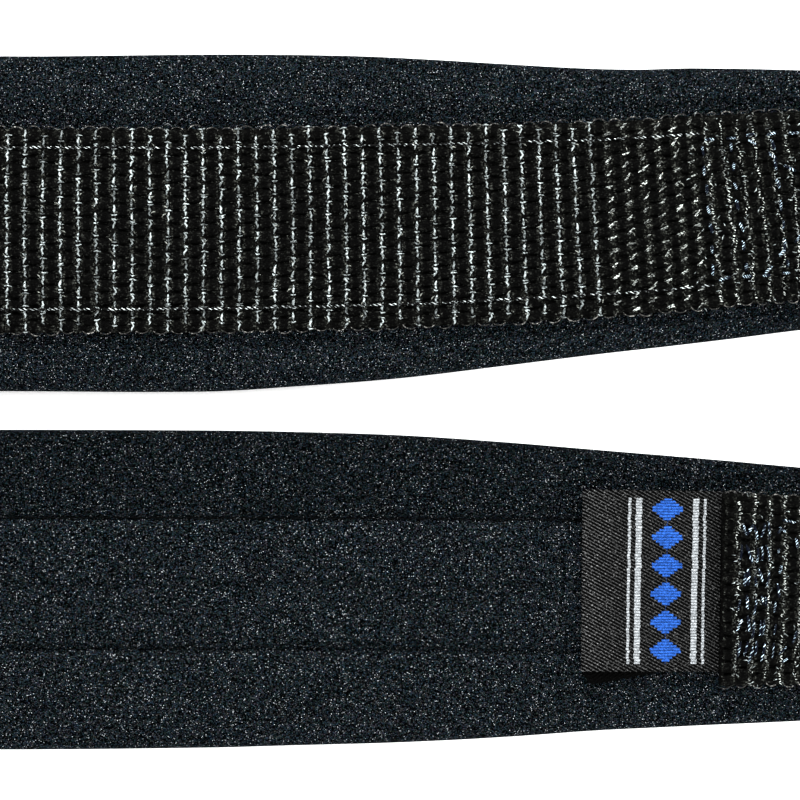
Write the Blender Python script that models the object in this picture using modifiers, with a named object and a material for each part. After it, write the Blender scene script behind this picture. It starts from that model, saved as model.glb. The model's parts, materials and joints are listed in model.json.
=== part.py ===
"""A padded saxophone strap, laid on a table as one long collapsed loop.

A foam pad with a ribbed webbing sewn along its outer face goes round the neck. The webbing's two
ends hold a ring each, a narrow strap joins the rings, and the hook rides on that strap.

The loop lies along X, with the neck at -X and the hook at +X. Leg A is at +Y and shows its outer
face. Leg B is at -Y and shows its inner face. Between them the strap stands on its edge as it
turns round the neck. Everything is in metres, with +Z up and the table at Z = 0.
"""

import math

import bmesh
import bpy
from mathutils import Vector

MM = 0.001

# The gap that keeps touching pieces apart.
GAP = 0.3 * MM

# The webbing, a flat ribbed band 1.5 inches wide.
WEBBING_WIDTH = 38.7 * MM
WEBBING_THICKNESS = 2.2 * MM
WEBBING_EDGE = 0.6 * MM
TAIL_LENGTH = 40.0 * MM

# The foam pad.
PAD_MARGIN = 13.8 * MM
PAD_THICKNESS = 5.6 * MM
PAD_END_THICKNESS = 4.0 * MM
PAD_MARGIN_RISE = 0.9 * MM
PAD_CROWN = 0.7 * MM
PAD_CORNER = 5.0 * MM
SEAM_SPACING = 24.3 * MM
SEAM_DEPTH = 1.1 * MM
SEAM_HALF_WIDTH = 1.9 * MM

# How much of its corner's rounding the pad's edge is drawn in by, and the share of the margin's full
# width at which it swells in full.
CORNER_DRAW = 0.6
FULL_SWELL = 0.6

# The margin's swell on the outer face. Each row has a place, as a share of the way from the webbing
# to the edge, and a share of the full swell.
MARGIN_ROWS = (
    (0.30, 1.0),
    (0.62, 0.8),
)

# The pad's rounded edge, from the outer face to the inner one. Each row says how far inward and how
# far down a point lies, in shares of the pad's depth.
EDGE_ROWS = (
    (0.16, 0.13),
    (0.00, 0.42),
    (0.06, 0.70),
    (0.34, 0.93),
)

# Where the inner face is flat: as far in as this share of the depth, and at least this share of the
# way from the seam to the edge. Then the crown's shares beside the seam and in the middle panel.
FLAT_INWARD = 0.85
FLAT_LEAST = 0.4
LIP_SWELL = 0.2
PANEL_EDGE_SWELL = 0.3
PANEL_PLACE = 0.45
PANEL_SWELL = 0.85

# How the loop lies.
LEG_LENGTH = 171.0 * MM
LEG_GAP = 7.2 * MM
LEG_A_SPREAD = 5.4 * MM
LEG_B_SPREAD = 1.4 * MM
LEG_B_LEAD = 2.0 * MM
NECK_LENGTH = 260.0 * MM

# The folded woven label.
LABEL_LENGTH = 25.4 * MM
LABEL_WIDTH = 33.3 * MM
LABEL_THICKNESS = 1.1 * MM
LABEL_OFFSET = 1.3 * MM
LABEL_TUCK = 4.0 * MM
LABEL_LIFT = 1.4 * MM
LABEL_LIFT_START = 0.35
LABEL_LIFT_FADE = 1.8
LABEL_STEPS = 6

# The rings in the webbing's ends.
RING_BAR = 4.0 * MM
RING_SIDE_CLEARANCE = 2.0 * MM
RING_PLAY = 5.6 * MM
RING_CORNER = 4.5 * MM
PAD_TO_RING = 6.0 * MM

# The narrow strap from ring to ring.
STRAP_WIDTH = 20.0 * MM
STRAP_THICKNESS = 1.6 * MM
STRAP_REACH = 198.0 * MM
STRAP_TAIL = 26.0 * MM

# The hook.
HOOK_THICKNESS = 5.0 * MM
HOOK_BAR = 4.0 * MM
HOOK_WALL = 4.0 * MM
HOOK_EDGE = 1.0 * MM
HOOK_SLOT_PLAY = 2.6 * MM
HOOK_SLOT_CLEARANCE = 1.5 * MM
HOOK_NECK_WIDTH = 12.0 * MM
HOOK_NECK_LENGTH = 9.0 * MM
HOOK_THROAT_RADIUS = 8.5 * MM
HOOK_ARM = 6.5 * MM
HOOK_NOSE = 2.0 * MM
HOOK_SEAT_WIDTH = 7.0 * MM
HOOK_TIP_ANGLE = 72.0
HOOK_NOSE_ANGLE = 150.0
HOOK_BACK_ANGLE = -152.0
HOOK_NECK_FLARE = 1.25
HOOK_FRAME_CORNER = HOOK_WALL * 0.75
HOOK_SLOT_CORNER = HOOK_WALL * 0.4

# Widths along a leg, from the pad's end (0) to where the neck stretch begins (1).
# The four margins are shares of PAD_MARGIN: a1 and b1 are the sides at +Y, a2 and b2 those at -Y.
# webbing is a share of WEBBING_WIDTH, and drift is a share of the leg's own spread.
LEG_COLUMNS = ("along", "a1", "a2", "b1", "b2", "webbing", "drift")
LEG_ROWS = (
    (0.00, 0.41, 0.27, 0.25, 0.36, 0.910, 1.00),
    (0.13, 0.55, 0.36, 0.33, 0.48, 0.920, 0.87),
    (0.24, 0.64, 0.41, 0.40, 0.54, 0.940, 0.64),
    (0.35, 0.72, 0.45, 0.47, 0.60, 0.955, 0.40),
    (0.46, 0.83, 0.54, 0.55, 0.69, 0.970, 0.25),
    (0.57, 0.93, 0.64, 0.61, 0.75, 0.985, 0.14),
    (0.68, 0.99, 0.71, 0.64, 0.79, 0.990, 0.06),
    (0.78, 1.00, 0.76, 0.65, 0.82, 0.995, 0.02),
    (1.00, 0.98, 0.74, 0.65, 0.84, 1.000, 0.00),
)

# How the lengths of the folded parts are shared out.
LIFT_RUN = 12.0 * MM
THINNING_RUN = 15.0 * MM
END_SHARES = (0.0, 0.3, 1.0)
STATION_CLEARANCE = 0.35
LEG_STATIONS = 20
NECK_STATIONS = 52
WRAP_STEPS = 8
PLAN_STEP = 0.5 * MM
TURN_RAMP = 0.4
ROLL_RAMP = 0.25
ROLL_SHARE = 0.47


def lerp(low, high, share):
    return low + (high - low) * share


def smooth(share):
    """A soft step from 0 to 1."""
    share = min(1.0, max(0.0, share))
    return share * share * (3.0 - 2.0 * share)


def eased(share, ramp):
    """0 to 1 at a steady rate, with a soft start and a soft stop that each take the ramp's share."""
    share = min(1.0, max(0.0, share))
    rate = 1.0 / (1.0 - ramp)
    if share < ramp:
        return rate * share * share / (2.0 * ramp)
    if share > 1.0 - ramp:
        return 1.0 - rate * (1.0 - share) ** 2 / (2.0 * ramp)
    return rate * (share - ramp / 2.0)


def leg_value(column, along):
    """A column of LEG_ROWS, read as a smooth curve through its rows."""
    place = LEG_COLUMNS.index(column)
    along = min(1.0, max(0.0, along))
    spots = [row[0] for row in LEG_ROWS]
    values = [row[place] for row in LEG_ROWS]
    slopes = [0.0]
    for i in range(1, len(spots) - 1):
        slopes.append((values[i + 1] - values[i - 1]) / (spots[i + 1] - spots[i - 1]))
    slopes.append(0.0)
    if column != "drift":
        slopes[0] = (values[1] - values[0]) / (spots[1] - spots[0])
    for i in range(len(spots) - 1):
        if along <= spots[i + 1]:
            break
    span = spots[i + 1] - spots[i]
    t = (along - spots[i]) / span
    start = (2 * t**3 - 3 * t**2 + 1) * values[i] + (t**3 - 2 * t**2 + t) * span * slopes[i]
    end = (3 * t**2 - 2 * t**3) * values[i + 1] + (t**3 - t**2) * span * slopes[i + 1]
    return start + end


# Places along the strap, s, from the pad's end on leg A (0) to its end on leg B (PAD_LENGTH).
LEG_B_LENGTH = LEG_LENGTH + LEG_B_LEAD
NECK_START = LEG_LENGTH
NECK_END = NECK_START + NECK_LENGTH
PAD_LENGTH = NECK_END + LEG_B_LENGTH

BAR_REACH = RING_BAR / 2 + PAD_TO_RING
WRAP_RADIUS = RING_BAR / 2 + GAP + WEBBING_THICKNESS / 2
LABEL_STACK = LABEL_THICKNESS + GAP


def leg_share(s):
    """How far s is along its leg, from 0 at the pad's end to 1 in the neck stretch."""
    if s < NECK_START:
        return s / LEG_LENGTH
    if s > NECK_END:
        return (PAD_LENGTH - s) / LEG_B_LENGTH
    return 1.0


def neck_share(s):
    return min(1.0, max(0.0, (s - NECK_START) / NECK_LENGTH))


def webbing_half(s):
    return WEBBING_WIDTH / 2 * leg_value("webbing", leg_share(s))


def pad_half(s, side):
    """The pad's half width on side "1", at +Y on both legs, or on side "2", at -Y."""
    along = leg_share(s)
    margin = lerp(leg_value("a" + side, along), leg_value("b" + side, along), smooth(neck_share(s)))
    return webbing_half(s) + PAD_MARGIN * margin


def roll(s):
    """How far the strap has rolled about its own length: 0 on leg A, a half turn on leg B."""
    share = neck_share(s)
    rising = eased(share / ROLL_SHARE, ROLL_RAMP)
    falling = eased((share - 1.0 + ROLL_SHARE) / ROLL_SHARE, ROLL_RAMP)
    return math.pi / 2 * (rising + falling)


def end_distance(s):
    """How far s is inside the pad's nearer end. It is negative beyond the end."""
    return min(s, PAD_LENGTH - s)


def pad_depth(s):
    """The pad's thickness at s, and beyond its end the height that the webbing holds for the ring."""
    inside = end_distance(s)
    if inside < 0.0:
        return lerp(PAD_END_THICKNESS, RING_BAR, smooth(-inside / PAD_TO_RING))
    return lerp(PAD_END_THICKNESS, PAD_THICKNESS, smooth((inside - TAIL_LENGTH) / THINNING_RUN))


def crown(s):
    """How far the pad's inner face swells between its seams. Leg A is pressed flat on the table."""
    clear_of_tail = smooth((PAD_LENGTH - s - TAIL_LENGTH - LABEL_LENGTH / 2) / LABEL_LENGTH)
    return PAD_CROWN * smooth(neck_share(s) * 3.0) * clear_of_tail


def tail_cover(s):
    """What the webbing's cut end on leg B climbs over near its end: the label."""
    inside = PAD_LENGTH - s
    return LABEL_STACK * smooth((inside - TAIL_LENGTH + LABEL_TUCK + LIFT_RUN / 2) / (LIFT_RUN / 2))


def table_lift(s):
    """How far leg A is lifted by the webbing's cut end, which lies under it."""
    if s > NECK_START:
        return 0.0
    return (GAP + WEBBING_THICKNESS) * smooth((TAIL_LENGTH + LIFT_RUN - s) / LIFT_RUN)


def pad_section(s):
    """The pad's outline at s, as (across, out) from the webbing's centre line on its outer face."""
    depth = pad_depth(s)
    swell = crown(s)
    half = webbing_half(s)
    seam = SEAM_SPACING / 2
    corner = PAD_CORNER - max(0.0, min(PAD_CORNER, end_distance(s)))
    pulled_in = PAD_CORNER - math.sqrt(max(0.0, PAD_CORNER**2 - corner**2))
    lip = seam + SEAM_HALF_WIDTH
    outline = []
    for side, sign in (("1", 1), ("2", -1)):
        edge = max(pad_half(s, side) - pulled_in * CORNER_DRAW, half + GAP)
        foot = half + min(GAP * 2, (edge - half) * 0.2)
        rise = PAD_MARGIN_RISE * min(1.0, (edge - half) / (PAD_MARGIN * FULL_SWELL))
        flat_start = max(edge - depth * FLAT_INWARD, lerp(lip, edge, FLAT_LEAST))
        points = [(half * 0.5, 0.0), (foot, 0.0)]
        points += [(lerp(foot, edge, place_at), rise * swelling) for place_at, swelling in MARGIN_ROWS]
        points += [(edge - depth * inward, -depth * down) for inward, down in EDGE_ROWS]
        points += [
            (flat_start, -depth),
            (lip, -depth - swell * LIP_SWELL),
            (seam, -depth + SEAM_DEPTH),
            (seam - SEAM_HALF_WIDTH, -depth - swell * PANEL_EDGE_SWELL),
            (seam * PANEL_PLACE, -depth - swell * PANEL_SWELL),
        ]
        points = [(sign * across, out) for across, out in points]
        outline += points if sign > 0 else points[::-1]
    middle = len(outline) // 2
    return outline[:middle] + [(0.0, -depth - swell)] + outline[middle:] + [(0.0, 0.0)]


def centre_height(s):
    """The height of the webbing's centre line that lets the strap's lowest point touch the table."""
    angle = roll(s)
    half = webbing_half(s)
    outside = GAP + WEBBING_THICKNESS
    points = pad_section(s) if 0.0 <= s <= PAD_LENGTH else [(0.0, -pad_depth(s))]
    points = points + [(half - WEBBING_EDGE, outside), (WEBBING_EDGE - half, outside)]
    drop = max(across * math.sin(angle) - out * math.cos(angle) for across, out in points)
    return drop + table_lift(s)


def plan_route():
    """The webbing's centre line seen from above: {"s", "x", "y", "heading"} lists, end to end."""
    start_a = LEG_GAP / 2 + pad_half(NECK_START, "2")
    start_b = -LEG_GAP / 2 - pad_half(NECK_END, "1")
    turn_mean = 0.0
    samples = 400
    for i in range(samples):
        turn_mean += math.sin(math.pi * eased((i + 0.5) / samples, TURN_RAMP)) / samples
    turn_share = (start_a - start_b) / (NECK_LENGTH * turn_mean)
    route = []
    reach = BAR_REACH + 2 * WRAP_RADIUS
    steps = math.ceil((LEG_LENGTH + reach) / PLAN_STEP)
    for i in range(steps):
        s = lerp(-reach, NECK_START, i / steps)
        drift = LEG_A_SPREAD * leg_value("drift", leg_share(s))
        route.append((s, -s, start_a + drift))
    x = -NECK_START
    y = start_a
    steps = math.ceil(NECK_LENGTH / PLAN_STEP)
    for i in range(steps):
        route.append((lerp(NECK_START, NECK_END, i / steps), x, y))
        share = ((i + 0.5) / steps - 0.5) / turn_share + 0.5
        heading = math.pi * (1.0 + eased(share, TURN_RAMP))
        x += math.cos(heading) * NECK_LENGTH / steps
        y += math.sin(heading) * NECK_LENGTH / steps
    steps = math.ceil((LEG_B_LENGTH + reach) / PLAN_STEP)
    for i in range(steps + 1):
        s = lerp(NECK_END, PAD_LENGTH + reach, i / steps)
        drift = LEG_B_SPREAD * leg_value("drift", leg_share(s))
        route.append((s, x + s - NECK_END, start_b - drift))
    return route


ROUTE = plan_route()


def frame_at(s):
    """The strap's centre, its width direction and its outward direction at s."""
    low = 0
    high = len(ROUTE) - 1
    while high - low > 1:
        middle = (low + high) // 2
        if ROUTE[middle][0] <= s:
            low = middle
        else:
            high = middle
    share = (s - ROUTE[low][0]) / (ROUTE[high][0] - ROUTE[low][0])
    x = lerp(ROUTE[low][1], ROUTE[high][1], share)
    y = lerp(ROUTE[low][2], ROUTE[high][2], share)
    before = ROUTE[max(0, low - 3)]
    after = ROUTE[min(len(ROUTE) - 1, high + 3)]
    along = Vector((after[1] - before[1], after[2] - before[2], 0.0)).normalized()
    outward = Vector((along.y, -along.x, 0.0))
    angle = roll(s)
    width = outward * math.cos(angle) + Vector((0.0, 0.0, -math.sin(angle)))
    out = outward * math.sin(angle) + Vector((0.0, 0.0, math.cos(angle)))
    return Vector((x, y, centre_height(s))), width, out


def strap_point(s, across, out_by):
    centre, width, out = frame_at(s)
    return centre + width * across + out * out_by


def pad_stations():
    """The places along the pad that its sections and the webbing's share."""
    stations = [PAD_CORNER * share for share in END_SHARES]
    marks = (TAIL_LENGTH, TAIL_LENGTH + LIFT_RUN / 2, TAIL_LENGTH + LIFT_RUN)
    for length, flip in ((LEG_LENGTH, False), (LEG_B_LENGTH, True)):
        steps = [lerp(PAD_CORNER, length, i / LEG_STATIONS) for i in range(1, LEG_STATIONS + 1)]
        near = length / LEG_STATIONS * STATION_CLEARANCE
        steps = [s for s in steps if all(abs(s - mark) > near for mark in marks)]
        steps = sorted([*steps, *marks])
        if flip:
            steps += [PAD_CORNER * share for share in END_SHARES]
            stations += [PAD_LENGTH - s for s in sorted(steps, reverse=True)]
        else:
            stations += steps
            for i in range(1, NECK_STATIONS):
                stations.append(lerp(NECK_START, NECK_END, i / NECK_STATIONS))
    return stations


def material(name, colour, roughness, metallic=0.0):
    made = bpy.data.materials.new(name)
    made.use_nodes = True
    shader = made.node_tree.nodes["Principled BSDF"]
    shader.inputs["Base Color"].default_value = (*colour, 1.0)
    shader.inputs["Roughness"].default_value = roughness
    shader.inputs["Metallic"].default_value = metallic
    made.diffuse_color = (*colour, 1.0)
    return made


def place(obj, root, finish):
    """Gives an object its material, its parent and its place in the strap's collection."""
    obj.data.materials.append(finish)
    obj.parent = root
    for collection in obj.users_collection:
        collection.objects.unlink(obj)
    bpy.data.collections["saxophone_strap"].objects.link(obj)
    return obj


def loft(name, across, rings):
    """A closed solid through rings of equally many points, with flat ends and its faces outwards.

    across says where each point of a ring lies in the strap's width. Each face is split from its
    narrower side on one ring to its wider side on the next, so that faces which lie on each other
    are split alike where the strap twists.
    """
    bm = bmesh.new()
    rows = [[bm.verts.new(point) for point in ring] for ring in rings]
    count = len(across)
    for row, following in zip(rows, rows[1:]):
        for i in range(count):
            j = (i + 1) % count
            if across[j] > across[i]:
                bm.faces.new((row[i], row[j], following[j]))
                bm.faces.new((row[i], following[j], following[i]))
            else:
                bm.faces.new((row[i], row[j], following[i]))
                bm.faces.new((row[j], following[j], following[i]))
    bm.faces.new(rows[0][::-1])
    bm.faces.new(rows[-1])
    bmesh.ops.recalc_face_normals(bm, faces=bm.faces)
    mesh = bpy.data.meshes.new(name)
    bm.to_mesh(mesh)
    bm.free()
    mesh.shade_smooth()
    mesh.set_sharp_from_angle(angle=math.radians(45.0))
    return bpy.data.objects.new(name, mesh)


def sheet(name, rows, thickness):
    """A thin cloth piece: an open surface through rows of points, made solid on both sides."""
    bm = bmesh.new()
    grid = [[bm.verts.new(point) for point in row] for row in rows]
    for row, following in zip(grid, grid[1:]):
        for i in range(len(row) - 1):
            bm.faces.new((row[i], row[i + 1], following[i + 1], following[i]))
    bmesh.ops.recalc_face_normals(bm, faces=bm.faces)
    mesh = bpy.data.meshes.new(name)
    bm.to_mesh(mesh)
    bm.free()
    mesh.shade_smooth()
    mesh.set_sharp_from_angle(angle=math.radians(45.0))
    obj = bpy.data.objects.new(name, mesh)
    wall = obj.modifiers.new("wall", "SOLIDIFY")
    wall.thickness = thickness
    wall.offset = 0.0
    wall.use_even_offset = True
    return obj


def make_pad():
    rings = []
    for s in pad_stations():
        rings.append([strap_point(s, across, out) for across, out in pad_section(s)])
    return loft("neoprene_pad", [across for across, out in pad_section(NECK_START)], rings)


def webbing_route():
    """The webbing's middle layer as (s, out) from one cut end to the other."""
    outside = GAP + WEBBING_THICKNESS / 2
    stations = pad_stations()
    tail_a = [s for s in stations if s <= TAIL_LENGTH]
    tail_b = [PAD_LENGTH - s for s in tail_a]
    tuck = TAIL_LENGTH - LABEL_TUCK
    bend = [PAD_LENGTH - tuck, PAD_LENGTH - tuck + LIFT_RUN / 4, PAD_LENGTH - tuck + LIFT_RUN / 2]
    tail_b = sorted([s for s in tail_b if s > bend[-1]] + bend + [tail_b[-1]])
    link = [PAD_TO_RING * 0.5, BAR_REACH]
    route = [(s, -pad_depth(s) - outside) for s in tail_a[::-1]]
    route += [(-s, -pad_depth(-s) - outside) for s in link]
    for i in range(1, WRAP_STEPS):
        angle = math.pi * i / WRAP_STEPS
        s = -BAR_REACH - WRAP_RADIUS * math.sin(angle)
        route.append((s, -RING_BAR / 2 - WRAP_RADIUS * math.cos(angle)))
    route += [(-s, outside) for s in link[::-1]]
    route += [(s, outside) for s in stations]
    route += [(PAD_LENGTH + s, outside) for s in link]
    for i in range(1, WRAP_STEPS):
        angle = math.pi * i / WRAP_STEPS
        s = PAD_LENGTH + BAR_REACH + WRAP_RADIUS * math.sin(angle)
        route.append((s, -RING_BAR / 2 + WRAP_RADIUS * math.cos(angle)))
    route += [(PAD_LENGTH + s, -pad_depth(PAD_LENGTH + s) - outside) for s in link[::-1]]
    route += [(s, -pad_depth(s) - tail_cover(s) - outside) for s in tail_b[::-1]]
    return route


def webbing_section(half):
    """The webbing's outline as (across, lift) from its middle layer."""
    thick = WEBBING_THICKNESS / 2
    edge = [(half - WEBBING_EDGE, -thick), (half, WEBBING_EDGE - thick)]
    edge += [(half, thick - WEBBING_EDGE), (half - WEBBING_EDGE, thick)]
    face = [(half * share, thick) for share in (0.5, 0.0, -0.5)]
    return edge + face + [(-across, -lift) for across, lift in edge + face]


def make_webbing():
    route = webbing_route()
    rings = []
    for i, (s, out) in enumerate(route):
        before = Vector(route[max(0, i - 1)])
        after = Vector(route[min(len(route) - 1, i + 1)])
        here = Vector((s, out))
        along = ((here - before).normalized() + (after - here).normalized()).normalized()
        normal = Vector((-along.y, along.x))
        ring = []
        for across, lift in webbing_section(webbing_half(s)):
            ring.append(strap_point(s + normal.x * lift, across, out + normal.y * lift))
        rings.append(ring)
    return loft("webbing", [across for across, lift in webbing_section(WEBBING_WIDTH / 2)], rings)


def make_label():
    """The label lies on leg B's inner face, with its lower corner at the fold a little lifted."""
    fold = PAD_LENGTH - TAIL_LENGTH - LABEL_LENGTH
    tucked = PAD_LENGTH - TAIL_LENGTH + LABEL_TUCK
    rows = []
    for i in range(LABEL_STEPS + 1):
        share = i / LABEL_STEPS
        s = lerp(fold, tucked, share)
        row = []
        for j in range(LABEL_STEPS + 1):
            down = j / LABEL_STEPS
            across = LABEL_OFFSET + LABEL_WIDTH * (0.5 - down)
            bulge = crown(s) * max(0.0, 1.0 - (across / (SEAM_SPACING / 2)) ** 2)
            corner = smooth((down - LABEL_LIFT_START) / (1.0 - LABEL_LIFT_START))
            lift = LABEL_LIFT * (1.0 - smooth(share * LABEL_LIFT_FADE)) * corner
            base = pad_depth(s) + bulge + crown(s) * LIP_SWELL + GAP + LABEL_THICKNESS / 2
            row.append(strap_point(s, across, -base - lift))
        rows.append(row)
    return sheet("label", rows, LABEL_THICKNESS)


def arc(centre, radius, start, stop, steps):
    """Points on an arc from the start angle to the stop angle, in degrees."""
    angles = [math.radians(lerp(start, stop, i / steps)) for i in range(steps + 1)]
    return [(centre[0] + radius * math.cos(a), centre[1] + radius * math.sin(a)) for a in angles]


def closed_spline(curve, points):
    """Adds a closed line through flat points to a curve."""
    spline = curve.splines.new("POLY")
    spline.points.add(len(points) - 1)
    for point, place_at in zip(spline.points, points):
        point.co = (*place_at, 0.0, 1.0)
    spline.use_cyclic_u = True


def ring_places():
    """Each ring's near bar as (name, x, y, z), on the side where its leg ends."""
    places = []
    for name, s in (("ring_a", -BAR_REACH), ("ring_b", PAD_LENGTH + BAR_REACH)):
        places.append((name, strap_point(s, 0.0, -RING_BAR / 2)))
    return places


RING_WIDTH = WEBBING_WIDTH * LEG_ROWS[0][5] + 2 * RING_SIDE_CLEARANCE + RING_BAR
RING_REACH = 2 * GAP + WEBBING_THICKNESS + STRAP_THICKNESS + RING_PLAY + RING_BAR


def make_ring(name, spot):
    """A rectangular ring of round bar, with its near bar's middle at its own origin."""
    curve = bpy.data.curves.new(name, "CURVE")
    curve.dimensions = "3D"
    radius = min(RING_CORNER, RING_REACH / 2 - GAP)
    near, far = radius, RING_REACH - radius
    side = RING_WIDTH / 2 - radius
    points = []
    for x, y, start in ((far, side, 0), (near, side, 90), (near, -side, 180), (far, -side, 270)):
        points += arc((x, y), radius, start, start + 90, 4)
    closed_spline(curve, points)
    curve.bevel_depth = RING_BAR / 2
    curve.bevel_resolution = 3
    obj = bpy.data.objects.new(name, curve)
    obj.location = spot
    return obj


STRAP_HALF = STRAP_THICKNESS / 2
STRAP_WRAP = RING_BAR / 2 + GAP + STRAP_HALF
HOOK_CORNER = math.hypot(HOOK_BAR / 2 - HOOK_EDGE, HOOK_THICKNESS / 2 - HOOK_EDGE) + HOOK_EDGE
HOOK_WRAP = HOOK_CORNER + GAP + STRAP_HALF
HOOK_HEIGHT = HOOK_WRAP + STRAP_HALF
STRAP_EASE = 0.35
STRAP_DROP = 14.0 * MM
DROP_SHARES = (0.0, 0.2, 0.4, 0.6, 0.8, 1.0)
CLIMB_SHARES = (0.0, 0.33, 0.67, 1.0)
CROSSING_SHARES = (0.35, 0.7)


def strap_plan(bar_a, bar_b):
    """Where the hook's bar lies, and how steeply each run of the narrow strap comes to it."""
    hook_x = max(bar_a.x, bar_b.x) + STRAP_REACH
    hook_y = (bar_a.y + bar_b.y) / 2
    slopes = []
    for bar in (bar_a, bar_b):
        straight = (hook_x - bar.x) * (1.0 - STRAP_EASE / 2) + math.pi * HOOK_WRAP / 2
        slopes.append(abs(bar.y - hook_y) / straight)
    return hook_x, hook_y, slopes


def strap_rows(bar_a, bar_b):
    """The narrow strap as rows of points, from its sewn end on ring A round the hook to ring B."""
    hook_x, hook_y, slopes = strap_plan(bar_a, bar_b)
    stack = STRAP_THICKNESS + GAP + STRAP_HALF
    crossing = STRAP_WIDTH / (slopes[0] + slopes[1]) + STRAP_DROP

    def spot(bar, slope, side, x):
        """The run's centre line in plan at x: straight out of the ring, then slanting to the hook."""
        span = hook_x - bar.x
        along = min(1.0, max(0.0, (x - bar.x) / span))
        if along < STRAP_EASE:
            return bar.y - side * slope * span * along**2 / (2 * STRAP_EASE), slope * along / STRAP_EASE
        return bar.y - side * slope * span * (along - STRAP_EASE / 2), slope

    def upper(bar, x, sewn_end):
        """The height of the layer that lies over another one near the ring and near the hook."""
        out = x - bar.x
        height = lerp(bar.z + STRAP_WRAP, stack, smooth(out / STRAP_DROP))
        if sewn_end:
            return height
        height = lerp(height, STRAP_HALF, smooth((out - STRAP_TAIL) / STRAP_DROP))
        back = hook_x - x
        climb = smooth((crossing + STRAP_DROP - back) / STRAP_DROP)
        height = lerp(height, stack, climb)
        return lerp(height, HOOK_HEIGHT + HOOK_WRAP, smooth(1.0 - back / STRAP_DROP))

    def lower(bar, x):
        return lerp(bar.z - STRAP_WRAP, STRAP_HALF, smooth((x - bar.x) / STRAP_DROP))

    def sewn(bar):
        return [bar.x + STRAP_TAIL * i / 8 for i in range(9)]

    def round_ring(bar):
        """Round the ring's far bar, from below it to above it, on the side away from the hook."""
        made = []
        for i in range(1, WRAP_STEPS):
            angle = -math.pi / 2 - math.pi * i / WRAP_STEPS
            x = bar.x + STRAP_WRAP * math.cos(angle)
            made.append((x, bar.y, bar.z + STRAP_WRAP * math.sin(angle), 0.0))
        return made

    def run_places(bar):
        """Places along a run: close together where its height changes, wider apart between."""
        sewn_stop = bar.x + STRAP_TAIL
        climb_stop = hook_x - crossing
        marks = [lerp(sewn_stop + STRAP_DROP, climb_stop - STRAP_DROP, 0.5)]
        for share in DROP_SHARES:
            marks += [bar.x + STRAP_DROP * share, hook_x - STRAP_DROP * share]
        for share in CLIMB_SHARES:
            marks += [sewn_stop + STRAP_DROP * share, climb_stop - STRAP_DROP * share]
        marks += [hook_x - lerp(STRAP_DROP, crossing, share) for share in CROSSING_SHARES]
        return sorted(marks)

    line = []
    for x in sewn(bar_a)[::-1]:
        y, slope = spot(bar_a, slopes[0], 1, x)
        line.append((x, y, lower(bar_a, x), slope))
    line += round_ring(bar_a)
    for x in run_places(bar_a):
        y, slope = spot(bar_a, slopes[0], 1, x)
        line.append((x, y, upper(bar_a, x, False), slope))
    turn = (slopes[0] + slopes[1]) / 2
    for i in range(1, WRAP_STEPS):
        angle = math.pi * (0.5 - i / WRAP_STEPS)
        y = hook_y + HOOK_WRAP * angle * turn
        x = hook_x + HOOK_WRAP * math.cos(angle)
        line.append((x, y, HOOK_HEIGHT + HOOK_WRAP * math.sin(angle), turn))
    for x in run_places(bar_b)[::-1]:
        y, slope = spot(bar_b, slopes[1], -1, x)
        line.append((x, y, lower(bar_b, x), slope))
    line += round_ring(bar_b)
    for x in sewn(bar_b):
        y, slope = spot(bar_b, slopes[1], -1, x)
        line.append((x, y, upper(bar_b, x, True), slope))
    rows = []
    for x, y, z, slope in line:
        half = STRAP_WIDTH / 2 * math.sqrt(1.0 + slope**2)
        rows.append([Vector((x, y + half * side, z)) for side in (1.0, 0.0, -1.0)])
    return rows


def hook_sizes(slope):
    """The hook's own sizes that follow the narrow strap: its slot and the places along its length."""
    strap_half_width = STRAP_WIDTH / 2 * math.sqrt(1.0 + slope**2)
    slot_half = strap_half_width + HOOK_WRAP * math.pi / 2 * slope + HOOK_SLOT_CLEARANCE
    slot_start = HOOK_BAR / 2
    slot_end = HOOK_WRAP + STRAP_HALF + HOOK_SLOT_PLAY
    shoulder = slot_end + HOOK_WALL
    throat = shoulder + HOOK_NECK_LENGTH + HOOK_ARM + HOOK_THROAT_RADIUS
    return slot_half, slot_start, slot_end, shoulder, throat


def from_throat(throat, radius, degrees):
    """A point at a distance and an angle from the middle of the throat."""
    angle = math.radians(degrees)
    return throat + radius * math.cos(angle), radius * math.sin(angle)


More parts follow.
